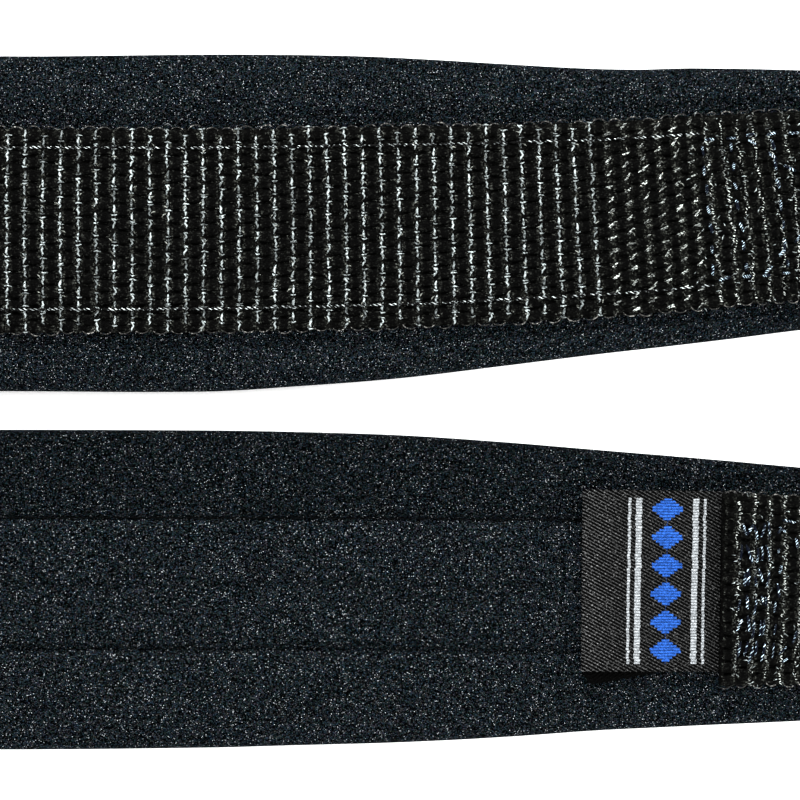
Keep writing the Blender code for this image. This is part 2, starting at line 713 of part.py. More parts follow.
def make_hook(hook_x, hook_y, slope):
    """A flat moulded hook: a slotted frame for the narrow strap, a neck and an open round throat."""
    slot_half, slot_start, slot_end, shoulder, throat = hook_sizes(slope)
    frame_half = slot_half + HOOK_WALL
    neck = (shoulder + HOOK_NECK_LENGTH * 0.5, HOOK_NECK_WIDTH / 2 * HOOK_NECK_FLARE)
    outer_radius = HOOK_THROAT_RADIUS + HOOK_ARM
    centre = (throat, 0.0)
    corner = HOOK_FRAME_CORNER
    flat = math.degrees(math.asin(HOOK_SEAT_WIDTH / 2 / HOOK_THROAT_RADIUS))
    nose = from_throat(throat, HOOK_THROAT_RADIUS + HOOK_NOSE, HOOK_NOSE_ANGLE)
    tip = from_throat(throat, HOOK_THROAT_RADIUS + HOOK_ARM / 2, HOOK_TIP_ANGLE)
    left = -HOOK_BAR / 2
    outline = arc((left + corner, frame_half - corner), corner, 180, 90, 4)
    outline += arc((shoulder - corner, frame_half - corner), corner, 90, 40, 3)
    outline += [neck]
    outline += arc(nose, HOOK_NOSE, 90, HOOK_NOSE_ANGLE - 180, 5)
    outline += arc(centre, HOOK_THROAT_RADIUS, HOOK_NOSE_ANGLE + 10, 360 - flat, 14)
    outline += arc(centre, HOOK_THROAT_RADIUS, 360 + flat, 360 + HOOK_TIP_ANGLE, 4)
    outline += arc(tip, HOOK_ARM / 2, HOOK_TIP_ANGLE + 150, HOOK_TIP_ANGLE + 30, 4)
    outline += arc(centre, outer_radius, HOOK_TIP_ANGLE, HOOK_BACK_ANGLE, 18)
    outline += [(neck[0], -neck[1])]
    outline += arc((shoulder - corner, corner - frame_half), corner, -40, -90, 3)
    outline += arc((left + corner, corner - frame_half), corner, -90, -180, 4)
    small = HOOK_SLOT_CORNER
    slot = arc((slot_start + small, slot_half - small), small, 180, 90, 2)
    slot += arc((slot_end - small, slot_half - small), small, 90, 0, 2)
    slot += arc((slot_end - small, small - slot_half), small, 0, -90, 2)
    slot += arc((slot_start + small, small - slot_half), small, -90, -180, 2)
    curve = bpy.data.curves.new("hook", "CURVE")
    curve.dimensions = "2D"
    curve.fill_mode = "BOTH"
    curve.extrude = HOOK_THICKNESS / 2 - HOOK_EDGE
    curve.bevel_depth = HOOK_EDGE
    curve.bevel_resolution = 1
    curve.offset = -HOOK_EDGE
    for points in (outline, slot):
        closed_spline(curve, points)
    obj = bpy.data.objects.new("hook", curve)
    obj.location = (hook_x, hook_y, HOOK_HEIGHT)
    tip_reach = throat + outer_radius
    obj.rotation_euler = (0.0, math.asin((HOOK_HEIGHT - HOOK_THICKNESS / 2) / tip_reach), 0.0)
    return obj


def clear_scene():
    for obj in list(bpy.data.objects):
        bpy.data.objects.remove(obj, do_unlink=True)


def stand_at_origin(root):
    """Moves the whole strap so that the middle of its outline on the table is the origin."""
    bpy.context.view_layer.update()
    graph = bpy.context.evaluated_depsgraph_get()
    low = Vector((math.inf, math.inf, math.inf))
    high = -low
    for obj in root.children:
        mesh = obj.evaluated_get(graph).to_mesh()
        for vertex in mesh.vertices:
            spot = obj.matrix_world @ vertex.co
            low = Vector(map(min, low, spot))
            high = Vector(map(max, high, spot))
        obj.evaluated_get(graph).to_mesh_clear()
    root.location = (-(low.x + high.x) / 2, -(low.y + high.y) / 2, -low.z)


def main():
    clear_scene()
    collection = bpy.data.collections.new("saxophone_strap")
    bpy.context.scene.collection.children.link(collection)
    root = bpy.data.objects.new("strap_root", None)
    collection.objects.link(root)
    foam = material("neoprene", (0.014, 0.018, 0.022), 0.85)
    ribbed = material("webbing", (0.02, 0.02, 0.018), 0.55)
    woven = material("label_weave", (0.012, 0.012, 0.012), 0.6)
    moulded = material("moulded_plastic", (0.015, 0.015, 0.016), 0.4)
    place(make_pad(), root, foam)
    place(make_webbing(), root, ribbed)
    place(make_label(), root, woven)
    far_bars = []
    for name, spot in ring_places():
        place(make_ring(name, spot), root, moulded)
        far_bars.append(spot + Vector((RING_REACH, 0.0, 0.0)))
    place(sheet("lower_strap", strap_rows(*far_bars), STRAP_THICKNESS), root, ribbed)
    hook_x, hook_y, slopes = strap_plan(*far_bars)
    place(make_hook(hook_x, hook_y, sum(slopes) / 2), root, moulded)
    stand_at_origin(root)


main()
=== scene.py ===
# %% [markdown]
# # A padded saxophone strap
# The real strap is a band of foam faced with knitted jersey, with a coarse woven webbing sewn along
# its outer face. The webbing's two ends hold a ring each, and a narrow strap with a hook joins the
# rings. Here the strap lies on a table as one long loop: one leg shows the woven outer face, the
# other leg the soft inner face with its folded label.
#
# Nearly every piece is cloth that follows the same path, so each one is drawn flat first, as its
# maker cuts, weaves and sews it, and then one mapping lays it along the strap.

# %% The frame: the solids that everything here is built round
import json
import math

import bmesh
import bpy
import numpy as np
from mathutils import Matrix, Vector

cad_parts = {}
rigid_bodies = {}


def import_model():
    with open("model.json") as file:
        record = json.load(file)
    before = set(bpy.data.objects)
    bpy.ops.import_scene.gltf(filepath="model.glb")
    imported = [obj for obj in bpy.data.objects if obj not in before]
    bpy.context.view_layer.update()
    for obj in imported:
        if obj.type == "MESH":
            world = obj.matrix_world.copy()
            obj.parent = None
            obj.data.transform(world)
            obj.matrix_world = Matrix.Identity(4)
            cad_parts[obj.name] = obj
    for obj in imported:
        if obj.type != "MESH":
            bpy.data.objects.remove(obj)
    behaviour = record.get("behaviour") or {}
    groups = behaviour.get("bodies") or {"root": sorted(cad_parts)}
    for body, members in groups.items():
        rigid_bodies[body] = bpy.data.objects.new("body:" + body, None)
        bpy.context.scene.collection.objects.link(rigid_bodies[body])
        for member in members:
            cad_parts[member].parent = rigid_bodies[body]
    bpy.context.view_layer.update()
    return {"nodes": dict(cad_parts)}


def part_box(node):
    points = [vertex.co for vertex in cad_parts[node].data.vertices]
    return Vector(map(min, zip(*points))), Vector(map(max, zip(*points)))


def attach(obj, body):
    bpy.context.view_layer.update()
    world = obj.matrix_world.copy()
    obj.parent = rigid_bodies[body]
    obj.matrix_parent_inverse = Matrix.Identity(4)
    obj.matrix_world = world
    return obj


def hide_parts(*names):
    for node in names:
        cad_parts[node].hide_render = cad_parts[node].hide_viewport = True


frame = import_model()
print("solids:", sorted(frame["nodes"]))

# %% [markdown]
# The strap's named sizes, in metres, and the shares that its section is drawn with. They are the
# same as in the source of the solids, so that the fine cloth lies where the solids are.

# %% Sizes
MM = 0.001
GAP = 0.3 * MM
WEBBING_WIDTH = 38.7 * MM
WEBBING_THICKNESS = 2.2 * MM
WEBBING_EDGE = 0.6 * MM
TAIL_LENGTH = 40.0 * MM
PAD_MARGIN = 13.8 * MM
PAD_THICKNESS = 5.6 * MM
PAD_END_THICKNESS = 4.0 * MM
PAD_MARGIN_RISE = 0.9 * MM
PAD_CROWN = 0.7 * MM
PAD_CORNER = 5.0 * MM
SEAM_SPACING = 24.3 * MM
SEAM_DEPTH = 1.1 * MM
SEAM_HALF_WIDTH = 1.9 * MM
LEG_LENGTH = 171.0 * MM
LEG_GAP = 7.2 * MM
LEG_A_SPREAD = 5.4 * MM
LEG_B_SPREAD = 1.4 * MM
LEG_B_LEAD = 2.0 * MM
NECK_LENGTH = 260.0 * MM
LABEL_LENGTH = 25.4 * MM
LABEL_WIDTH = 33.3 * MM
LABEL_THICKNESS = 1.1 * MM
LABEL_OFFSET = 1.3 * MM
LABEL_TUCK = 4.0 * MM
LABEL_LIFT = 1.4 * MM
RING_BAR = 4.0 * MM
PAD_TO_RING = 6.0 * MM
LIFT_RUN = 12.0 * MM
THINNING_RUN = 15.0 * MM
TURN_RAMP = 0.4
ROLL_RAMP = 0.25
ROLL_SHARE = 0.47
CORNER_DRAW = 0.6
FULL_SWELL = 0.6
FLAT_INWARD = 0.85
FLAT_LEAST = 0.4
LIP_SWELL = 0.2
PANEL_EDGE_SWELL = 0.3
PANEL_PLACE = 0.45
PANEL_SWELL = 0.85

# The margin's swell, as (share of the way to the edge, share of the full swell), and the rounded
# edge, as (inward, down) in shares of the pad's depth.
MARGIN_ROWS = ((0.30, 1.0), (0.62, 0.8))
EDGE_ROWS = ((0.16, 0.13), (0.00, 0.42), (0.06, 0.70), (0.34, 0.93))

# Along a leg, from the pad's end (0) to the neck stretch (1). The margins are shares of PAD_MARGIN.
LEG_COLUMNS = ("along", "a1", "a2", "b1", "b2", "webbing", "drift")
LEG_ROWS = (
    (0.00, 0.41, 0.27, 0.25, 0.36, 0.910, 1.00),
    (0.13, 0.55, 0.36, 0.33, 0.48, 0.920, 0.87),
    (0.24, 0.64, 0.41, 0.40, 0.54, 0.940, 0.64),
    (0.35, 0.72, 0.45, 0.47, 0.60, 0.955, 0.40),
    (0.46, 0.83, 0.54, 0.55, 0.69, 0.970, 0.25),
    (0.57, 0.93, 0.64, 0.61, 0.75, 0.985, 0.14),
    (0.68, 0.99, 0.71, 0.64, 0.79, 0.990, 0.06),
    (0.78, 1.00, 0.76, 0.65, 0.82, 0.995, 0.02),
    (1.00, 0.98, 0.74, 0.65, 0.84, 1.000, 0.00),
)
NECK_START = LEG_LENGTH
NECK_END = NECK_START + NECK_LENGTH
LEG_B_LENGTH = LEG_LENGTH + LEG_B_LEAD
PAD_LENGTH = NECK_END + LEG_B_LENGTH
BAR_REACH = RING_BAR / 2 + PAD_TO_RING
WRAP_RADIUS = RING_BAR / 2 + GAP + WEBBING_THICKNESS / 2
print(f"the pad is {PAD_LENGTH / MM:.0f} mm long")

# %% [markdown]
# ## The strap's own space
# A place on the strap has three coordinates: s along it, u across it and v outwards from the pad's
# outer face. In that space every seam is straight and every piece is flat. These functions say how
# wide and how thick the strap is at s, and how far it has rolled over in the neck stretch. They all
# take numpy arrays, so a mesh of a hundred thousand points is laid in one step.


# %% Widths, depths and roll along the strap
def lerp(low, high, share):
    return low + (high - low) * share


def smooth(share):
    """A soft step from 0 to 1."""
    share = np.clip(share, 0.0, 1.0)
    return share * share * (3.0 - 2.0 * share)


def eased(share, ramp):
    """0 to 1 at a steady rate, with a soft start and a soft stop."""
    share = np.clip(share, 0.0, 1.0)
    rate = 1.0 / (1.0 - ramp)
    start = rate * share * share / (2.0 * ramp)
    stop = 1.0 - rate * (1.0 - share) ** 2 / (2.0 * ramp)
    return np.where(share < ramp, start, np.where(share > 1.0 - ramp, stop, rate * (share - ramp / 2.0)))


def leg_value(column, along):
    """A column of LEG_ROWS, read as a smooth curve through its rows."""
    spots = np.array([row[0] for row in LEG_ROWS])
    values = np.array([row[LEG_COLUMNS.index(column)] for row in LEG_ROWS])
    slopes = np.zeros(len(values))
    slopes[1:-1] = (values[2:] - values[:-2]) / (spots[2:] - spots[:-2])
    if column != "drift":
        slopes[0] = (values[1] - values[0]) / (spots[1] - spots[0])
    along = np.clip(along, 0.0, 1.0)
    i = np.clip(np.searchsorted(spots, along) - 1, 0, len(spots) - 2)
    span = spots[i + 1] - spots[i]
    t = (along - spots[i]) / span
    start = (2 * t**3 - 3 * t**2 + 1) * values[i] + (t**3 - 2 * t**2 + t) * span * slopes[i]
    return start + (3 * t**2 - 2 * t**3) * values[i + 1] + (t**3 - t**2) * span * slopes[i + 1]


def leg_share(s):
    """The way along a leg, from the pad's end (0) to the neck stretch (1)."""
    from_end_b = np.where(s > NECK_END, (PAD_LENGTH - s) / LEG_B_LENGTH, 1.0)
    return np.where(s < NECK_START, s / LEG_LENGTH, from_end_b)


def neck_share(s):
    return np.clip((s - NECK_START) / NECK_LENGTH, 0.0, 1.0)


def webbing_half(s):
    return WEBBING_WIDTH / 2 * leg_value("webbing", leg_share(s))


def pad_half(s, side):
    """The pad's half width on side 1 (+u) or side 2 (-u)."""
    along = leg_share(s)
    margin = lerp(leg_value("a" + side, along), leg_value("b" + side, along), smooth(neck_share(s)))
    return webbing_half(s) + PAD_MARGIN * margin


def roll(s):
    """How far the strap has rolled about its own length: 0 on leg A, a half turn on leg B."""
    share = neck_share(s)
    rising = eased(share / ROLL_SHARE, ROLL_RAMP)
    return math.pi / 2 * (rising + eased((share - 1.0 + ROLL_SHARE) / ROLL_SHARE, ROLL_RAMP))


def end_distance(s):
    return np.minimum(s, PAD_LENGTH - s)


def pad_depth(s):
    """The pad's thickness, and beyond its end the height that the webbing holds for the ring."""
    inside = end_distance(s)
    beyond = lerp(PAD_END_THICKNESS, RING_BAR, smooth(-inside / PAD_TO_RING))
    within = lerp(PAD_END_THICKNESS, PAD_THICKNESS, smooth((inside - TAIL_LENGTH) / THINNING_RUN))
    return np.where(inside < 0.0, beyond, within)


def crown(s):
    """How far the pad's inner face swells between its seams."""
    clear_of_tail = smooth((PAD_LENGTH - s - TAIL_LENGTH - LABEL_LENGTH / 2) / LABEL_LENGTH)
    return PAD_CROWN * smooth(neck_share(s) * 3.0) * clear_of_tail


def tail_cover(s):
    """What the webbing's cut end on leg B climbs over: the label."""
    share = (PAD_LENGTH - s - TAIL_LENGTH + LABEL_TUCK + LIFT_RUN / 2) / (LIFT_RUN / 2)
    return (LABEL_THICKNESS + GAP) * smooth(share)


def table_lift(s):
    """How far leg A is lifted by the webbing's cut end, which lies under it."""
    lift = (GAP + WEBBING_THICKNESS) * smooth((TAIL_LENGTH + LIFT_RUN - s) / LIFT_RUN)
    return np.where(s > NECK_START, 0.0, lift)


places = np.linspace(0.0, PAD_LENGTH, 5)
print("webbing half widths in mm:", np.round(webbing_half(places) / MM, 1))

# %% [markdown]
# The pad's outline across the strap, as a closed row of control points. The webbing presses the
# outer face flat, the two free margins swell a little beside it and roll over at their edges, and
# two sewn channels part the inner face into three soft panels. The second channel is the shallower.


# %% The pad's cross-section
SECOND_SEAM = 0.7


def pad_section(s):
    """The outline's control points at each s, as an array (places, points, 2) of (u, v)."""
    s = np.atleast_1d(s)
    depth, swell, half = pad_depth(s), crown(s), webbing_half(s)
    seam = SEAM_SPACING / 2
    corner = PAD_CORNER - np.clip(end_distance(s), 0.0, PAD_CORNER)
    pulled_in = PAD_CORNER - np.sqrt(np.maximum(0.0, PAD_CORNER**2 - corner**2))
    none = np.zeros(len(s))
    sides = []
    for side, sign in (("1", 1), ("2", -1)):
        edge = np.maximum(pad_half(s, side) - pulled_in * CORNER_DRAW, half + GAP)
        foot = half + np.minimum(GAP * 2, (edge - half) * 0.2)
        lip = seam + SEAM_HALF_WIDTH
        rise = PAD_MARGIN_RISE * np.minimum(1.0, (edge - half) / (PAD_MARGIN * FULL_SWELL))
        sunk = SEAM_DEPTH * (1.0 if side == "1" else SECOND_SEAM)
        points = [(half * 0.5, none), (foot, none)]
        points += [(lerp(foot, edge, place), rise * swelling) for place, swelling in MARGIN_ROWS]
        points += [(edge - depth * inward, -depth * down) for inward, down in EDGE_ROWS]
        points += [
            (np.maximum(edge - depth * FLAT_INWARD, lerp(lip, edge, FLAT_LEAST)), -depth),
            (none + lip, -depth - swell * LIP_SWELL),
            (none + seam, -depth + sunk),
            (none + seam - SEAM_HALF_WIDTH, -depth - swell * PANEL_EDGE_SWELL),
            (none + seam * PANEL_PLACE, -depth - swell * PANEL_SWELL),
        ]
        points = [np.stack([sign * across, out], axis=1) for across, out in points]
        sides.append(points if sign > 0 else points[::-1])
    inner_middle = np.stack([none, -depth - swell], axis=1)
    outer_middle = np.stack([none, none], axis=1)
    return np.stack(sides[0] + [inner_middle] + sides[1] + [outer_middle], axis=1)


def centre_height(s):
    """The height of the strap's centre line that lets its lowest point touch the table."""
    angle, half = roll(s), webbing_half(s)
    outside = GAP + WEBBING_THICKNESS
    within = ((s >= 0.0) & (s <= PAD_LENGTH))[:, None]
    section = pad_section(np.clip(s, 0.0, PAD_LENGTH))
    across = np.where(within, section[:, :, 0], 0.0)
    out = np.where(within, section[:, :, 1], -pad_depth(s)[:, None])
    for edge in (half - WEBBING_EDGE, WEBBING_EDGE - half):
        across = np.column_stack([across, edge])
        out = np.column_stack([out, np.full(len(s), outside)])
    drop = across * np.sin(angle)[:, None] - out * np.cos(angle)[:, None]
    return drop.max(axis=1) + table_lift(s)


print("control points round the pad:", pad_section(0.0).shape[1])

# %% [markdown]
# Seen from above the strap runs down leg A, turns half round in the neck stretch and runs back along
# leg B. The route is summed up in small steps, and a table of places, directions and heights along it
# is all that the mapping needs. Ring A's solid says where the route lies in the frame.


# %% The route and the mapping
TURN_SAMPLES = 400
LEG_A_STEPS = 360
NECK_STEPS = 520
LEG_B_STEPS = 370
PRESSED = 0.3 * MM


def plan_route():
    """The strap's centre line from above: arrays of s, x and y."""
    start_a = LEG_GAP / 2 + pad_half(NECK_START, "2")
    start_b = -LEG_GAP / 2 - pad_half(NECK_END, "1")
    reach = BAR_REACH + 2 * WRAP_RADIUS
    middle = (np.arange(TURN_SAMPLES) + 0.5) / TURN_SAMPLES
    turn_mean = np.sin(math.pi * eased(middle, TURN_RAMP)).mean()
    turn_share = (start_a - start_b) / (NECK_LENGTH * turn_mean)
    s_a = np.linspace(-reach, NECK_START, LEG_A_STEPS, endpoint=False)
    share = ((np.arange(NECK_STEPS) + 0.5) / NECK_STEPS - 0.5) / turn_share + 0.5
    heading = math.pi * (1.0 + eased(share, TURN_RAMP))
    x_n = -NECK_START + np.concatenate([[0.0], np.cumsum(np.cos(heading))]) * NECK_LENGTH / NECK_STEPS
    y_n = start_a + np.concatenate([[0.0], np.cumsum(np.sin(heading))]) * NECK_LENGTH / NECK_STEPS
    s_n = np.linspace(NECK_START, NECK_END, NECK_STEPS + 1)
    s_b = np.linspace(NECK_END, PAD_LENGTH + reach, LEG_B_STEPS)
    y_a = start_a + LEG_A_SPREAD * leg_value("drift", leg_share(s_a))
    y_b = start_b - LEG_B_SPREAD * leg_value("drift", leg_share(s_b))
    s = np.concatenate([s_a, s_n[:-1], s_b])
    x = np.concatenate([-s_a, x_n[:-1], x_n[-1] + s_b - NECK_END])
    return s, x, np.concatenate([y_a, y_n[:-1], y_b])


ROUTE_S, route_x, route_y = plan_route()
steps_x, steps_y = np.gradient(route_x), np.gradient(route_y)
step = np.hypot(steps_x, steps_y)
ring_low, ring_high = (np.array(corner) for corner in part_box("ring_a"))
bar_y = np.interp(-BAR_REACH, ROUTE_S, route_y)
OFFSET = (ring_low[0] + RING_BAR / 2 - BAR_REACH, (ring_low[1] + ring_high[1]) / 2 - bar_y)
ROUTE_TABLE = np.stack([route_x, route_y, centre_height(ROUTE_S), steps_x / step, steps_y / step])


def on_table(x, y, z):
    """Points with the lowest threads pressed flat, so that nothing sinks into the table."""
    z = np.where(z < PRESSED, PRESSED * np.exp(np.minimum(z / PRESSED - 1.0, 0.0)), z)
    return np.stack([x, y, z], axis=-1)


def lay(s, u, v):
    """Puts points of strap space into the frame."""
    x, y, height, along_x, along_y = (np.interp(s, ROUTE_S, row) for row in ROUTE_TABLE)
    length = np.hypot(along_x, along_y)
    side_x, side_y = along_y / length, -along_x / length
    cos, sin = np.cos(roll(s)), np.sin(roll(s))
    out = cos * u + sin * v
    x, y = x + side_x * out + OFFSET[0], y + side_y * out + OFFSET[1]
    return on_table(x, y, height - sin * u + cos * v)


ring_spot = lay(np.array([-BAR_REACH]), np.zeros(1), np.array([-RING_BAR / 2]))[0]
print("ring A's bar in mm:", np.round(ring_spot / MM, 2))
print("its solid starts at", np.round(ring_low / MM, 2))

# %% [markdown]
# ## Two helpers for node trees
# Shaders and Geometry Nodes are trees of nodes. A `Board` builds one, and a `Wire` is one output
# socket of it that takes part in Python sums: each operator adds a Math node, so a formula in a
# material reads like a formula.


# %% Node trees from Python expressions
class Wire:
    """An output socket that can be added, multiplied and compared."""

    def __init__(self, board, socket):
        self.board = board
        self.socket = socket

    def __add__(self, other):
        return self.board.maths("ADD", self, other)

    def __sub__(self, other):
        return self.board.maths("SUBTRACT", self, other)

    def __rsub__(self, other):
        return self.board.maths("SUBTRACT", other, self)

    def __mul__(self, other):
        return self.board.maths("MULTIPLY", self, other)

    def __truediv__(self, other):
        return self.board.maths("DIVIDE", self, other)

    def __pow__(self, other):
        return self.board.maths("POWER", self, other)

    def __mod__(self, other):
        return self.board.maths("FLOORED_MODULO", self, other)

    def __lt__(self, other):
        return self.board.maths("LESS_THAN", self, other)

    def __gt__(self, other):
        return self.board.maths("GREATER_THAN", self, other)

    __radd__ = __add__
    __rmul__ = __mul__


class Board:
    """A node tree under construction."""

    def __init__(self, tree):
        self.tree = tree

    def node(self, kind, settings=None, inputs=None, output=0):
        made = self.tree.nodes.new(kind)
        for name, value in (settings or {}).items():
            setattr(made, name, value)
        for name, value in (inputs or {}).items():
            if isinstance(value, Wire):
                self.tree.links.new(value.socket, made.inputs[name])
            else:
                made.inputs[name].default_value = value
        return Wire(self, made.outputs[output]) if len(made.outputs) else made

    def maths(self, operation, *values):
        return self.node("ShaderNodeMath", {"operation": operation}, dict(enumerate(values)))

    def vectors(self, operation, first, second):
        return self.node("ShaderNodeVectorMath", {"operation": operation}, {0: first, 1: second})

    def scaled(self, vector, factor):
        """A colour made brighter or darker, or a place for a finer or coarser pattern."""
        return self.node("ShaderNodeVectorMath", {"operation": "SCALE"}, {0: vector, 3: factor})

    def channel(self, colour, number=0):
        """One of a colour's three channels."""
        return self.node("ShaderNodeSeparateColor", inputs={0: colour}, output=number)

    def attribute(self, name):
        """A number that the mesh keeps at each of its points."""
        return self.node("ShaderNodeAttribute", {"attribute_name": name}, output=2)

    def object_place(self, scale):
        """The place on the object in metres, times a scale."""
        return self.scaled(self.node("ShaderNodeTexCoord", output=3), scale)

    def mix(self, share, low, high):
        """A colour between two colours."""
        inputs = {0: share, 6: low, 7: high}
        return self.node("ShaderNodeMix", {"data_type": "RGBA"}, inputs, 2)

    def ramp(self, value, low, high):
        """0 below low, 1 above high, with a soft step between."""
        inputs = {0: value, 1: low, 2: high}
        return self.node("ShaderNodeMapRange", {"interpolation_type": "SMOOTHSTEP"}, inputs)


print("helpers ready:", Wire.__name__, Board.__name__)


# %% [markdown]
# ## Materials
# Each finish is a small formula on places. Cloth reads its own flat map, a UV layer named `flat` that
# holds metres along and across the piece, so that a weave follows the cloth round every bend.


# %% A material and its shader
def new_material(name, roughness, **constants):
    """A material with its Principled shader, as (material, board, shader node)."""
    made = bpy.data.materials.new(name)
    made.use_nodes = True
    shader = made.node_tree.nodes["Principled BSDF"]
    shader.inputs["Roughness"].default_value = roughness
    for socket, value in constants.items():
        shader.inputs[socket.replace("_", " ")].default_value = value
    return made, Board(made.node_tree), shader


def wire_up(board, shader, **values):
    """Links wires to the shader's sockets, named with underscores for spaces."""
    for socket, wire in values.items():
        board.tree.links.new(wire.socket, shader.inputs[socket.replace("_", " ")])


def flat_place(board):
    """The flat map as two wires, in millimetres."""
    flat = board.node("ShaderNodeUVMap", {"uv_map": "flat"})
    along = board.node("ShaderNodeSeparateXYZ", inputs={0: flat}, output=0)
    across = board.node("ShaderNodeSeparateXYZ", inputs={0: flat}, output=1)
    return along * 1000.0, across * 1000.0


def place_vector(board, x, y, z=0.0):
    return board.node("ShaderNodeCombineXYZ", inputs={0: x, 1: y, 2: z})


def cells(board, vector, output=1, dimensions="3D"):
    """Random colours in irregular cells one unit across, or (output 0) the way to a cell's middle."""
    settings = {"voronoi_dimensions": dimensions}
    return board.node("ShaderNodeTexVoronoi", settings, {"Vector": vector, "Scale": 1.0}, output)


def noise(board, vector, detail=2.0):
    return board.node("ShaderNodeTexNoise", inputs={"Vector": vector, "Scale": 1.0, "Detail": detail})


def bump(board, height, distance):
    return board.node("ShaderNodeBump", inputs={"Height": height, "Distance": distance, "Strength": 1.0})


print("world units are metres; formulas read millimetres")

# %% [markdown]
# The foam is faced with a fine black jersey. Its loops are about a quarter of a millimetre wide and
# each one catches the light by chance, so the cloth looks salted with tiny bluish glints. Random
# cells, a little longer than wide, give each loop its own brightness and tint, with dark rims between
# them. A second, finer set of cells gives the rare sparks. A point attribute of the mesh multiplies
# the colour with painted shade and painted highlight, beside the sewn channels and on one margin.


# %% Jersey over foam
LOOPS_PER_MM = (3.7, 4.1)
LOOP_RIM = (0.28, 0.42)
RIM_SHADE = 0.88
SPARKS_PER_MM = (6.0, 6.7)
SPARK_RIM = (0.1, 0.6)
SPARK_TINT = (0.9, 0.95, 1.0)
SPARK_LEVEL = 0.95
SPARK_RARITY = 60.0
JERSEY_LEVEL = 0.045
JERSEY_SPREAD = 1.9
PATCHES_PER_MM = 0.12


def jersey():
    made, board, shader = new_material("jersey", 0.9, Specular_IOR_Level=0.0)
    along, across = flat_place(board)
    loops = place_vector(board, along * LOOPS_PER_MM[0], across * LOOPS_PER_MM[1])
    random = cells(board, loops, dimensions="2D")
    level, red, blue = (board.channel(random, number) for number in range(3))
    crest = 1.0 - board.ramp(cells(board, loops, 0, "2D"), *LOOP_RIM) * RIM_SHADE
    sparks = place_vector(board, along * SPARKS_PER_MM[0] + 3.7, across * SPARKS_PER_MM[1] + 1.3)
    near_spark = 1.0 - board.ramp(cells(board, sparks, 0, "2D"), *SPARK_RIM)
    spark = board.channel(cells(board, sparks, dimensions="2D"))
    patch = noise(board, place_vector(board, along * PATCHES_PER_MM, across * PATCHES_PER_MM))
    # painted shade and painted highlight that the pad's mesh keeps at each point
    worn = board.attribute("worn")
    shine = (level**JERSEY_SPREAD * JERSEY_LEVEL + 0.0006) * crest * (patch * 0.2 + 0.9) * worn
    channels = {0: red**2.0 * 0.5 + 0.4, 1: 0.79, 2: blue * 0.6 + 0.67}
    cloth = board.scaled(board.node("ShaderNodeCombineColor", inputs=channels), shine)
    glint = board.scaled(SPARK_TINT, spark**SPARK_RARITY * near_spark * SPARK_LEVEL * worn)
    colour = board.vectors("ADD", cloth, glint)
    wire_up(board, shader, Base_Color=colour, Normal=bump(board, level, 0.00005))
    return made


JERSEY = jersey()
print("made", JERSEY.name)

# %% [markdown]
# The webbing is spun from shiny black filament. On top of each rib the yarn lies flat and looks
# nearly black, with a few specks, and it is painted a little lighter towards the grooves as painted
# highlight. Where it dives into a groove its filaments turn to the light and flash white: the
# crossing strands carry that flash as painted highlight in their colour. Floats and grooves are
# separate shapes here, so each has its own finish. Where the box stitches pull at the weave the
# filaments are frayed, and their painted highlight shows in patches only.


# %% Webbing yarn, bright filament and sewing thread
YARN_TINT = (1.0, 1.07, 0.93)
FINE_PATTERN = 2600.0
PATCH_PATTERN = 240.0
THREAD_PATTERN = 1100.0
THREAD_TWIST_MM = 0.85


def yarn(name, first, pitch):
    """Black on top of the ribs; its texture is painted lighter towards the grooves, as painted
    highlight.
    """
    made, board, shader = new_material(name, 0.6, Specular_IOR_Level=0.02)
    along, across = flat_place(board)
    strands = noise(board, place_vector(board, along * 0.9, across * 7.0), 3.0)
    speck = board.channel(cells(board, place_vector(board, along * 3.4, across * 4.6)))
    from_groove = board.maths("PINGPONG", (along - first / MM) / (pitch / MM), 0.5)
    # painted highlight: the yarn is painted lighter near each groove
    near = (1.0 - board.ramp(from_groove, 0.1, 0.4)) * 0.93 + 0.07
    shade = (board.ramp(strands, 0.44, 0.8) * 0.013 + speck**11.0 * 0.1) * near + 0.0001
    colour = board.scaled(YARN_TINT, shade)
    wire_up(board, shader, Base_Color=colour, Normal=bump(board, strands, 0.0002))
    return made


def filament(name, tint, glint_strength, breaks=(0.36, 0.62), patches=0.0):
    """A painted glint on each crossing, of its own strength (attribute shine); it may fade in patches.
    """
    made, board, shader = new_material(name, 0.5, Specular_IOR_Level=0.1)
    broken = board.ramp(noise(board, board.object_place(FINE_PATTERN), 2.0), *breaks)
    # painted highlight: a light colour on the black filament, where it would flash in the light
    level = (broken * 0.95 + 0.05) * (board.attribute("shine") * 0.75 + 0.25) * glint_strength + 0.003
    if patches:
        patch = noise(board, board.object_place(PATCH_PATTERN), 1.0)
        level = level * (board.ramp(patch, 0.42, 0.56) * patches + 1.0 - patches)
    wire_up(board, shader, Base_Color=board.scaled(tint, level))
    return made


def thread(name, tint, glint_strength, body):
    """Sewing thread: one slanted glint on each turn of its twist, brighter here and there."""
    made, board, shader = new_material(name, 0.5, Specular_IOR_Level=0.05)
    along, around = flat_place(board)
    shine = board.attribute("shine")
    patchy = board.ramp(noise(board, board.object_place(THREAD_PATTERN), 2.0), 0.44, 0.64)
    turn = (along / THREAD_TWIST_MM + around * 2.0 + shine * 3.7) % 1.0
    crest = board.ramp(turn, 0.5, 0.6) * (1.0 - board.ramp(turn, 0.76, 0.88))
    level = crest * (shine * 0.6 + 0.4) * patchy * glint_strength
    colour = board.vectors("ADD", board.scaled(tint, level), body)
    wire_up(board, shader, Base_Color=colour)
    return made
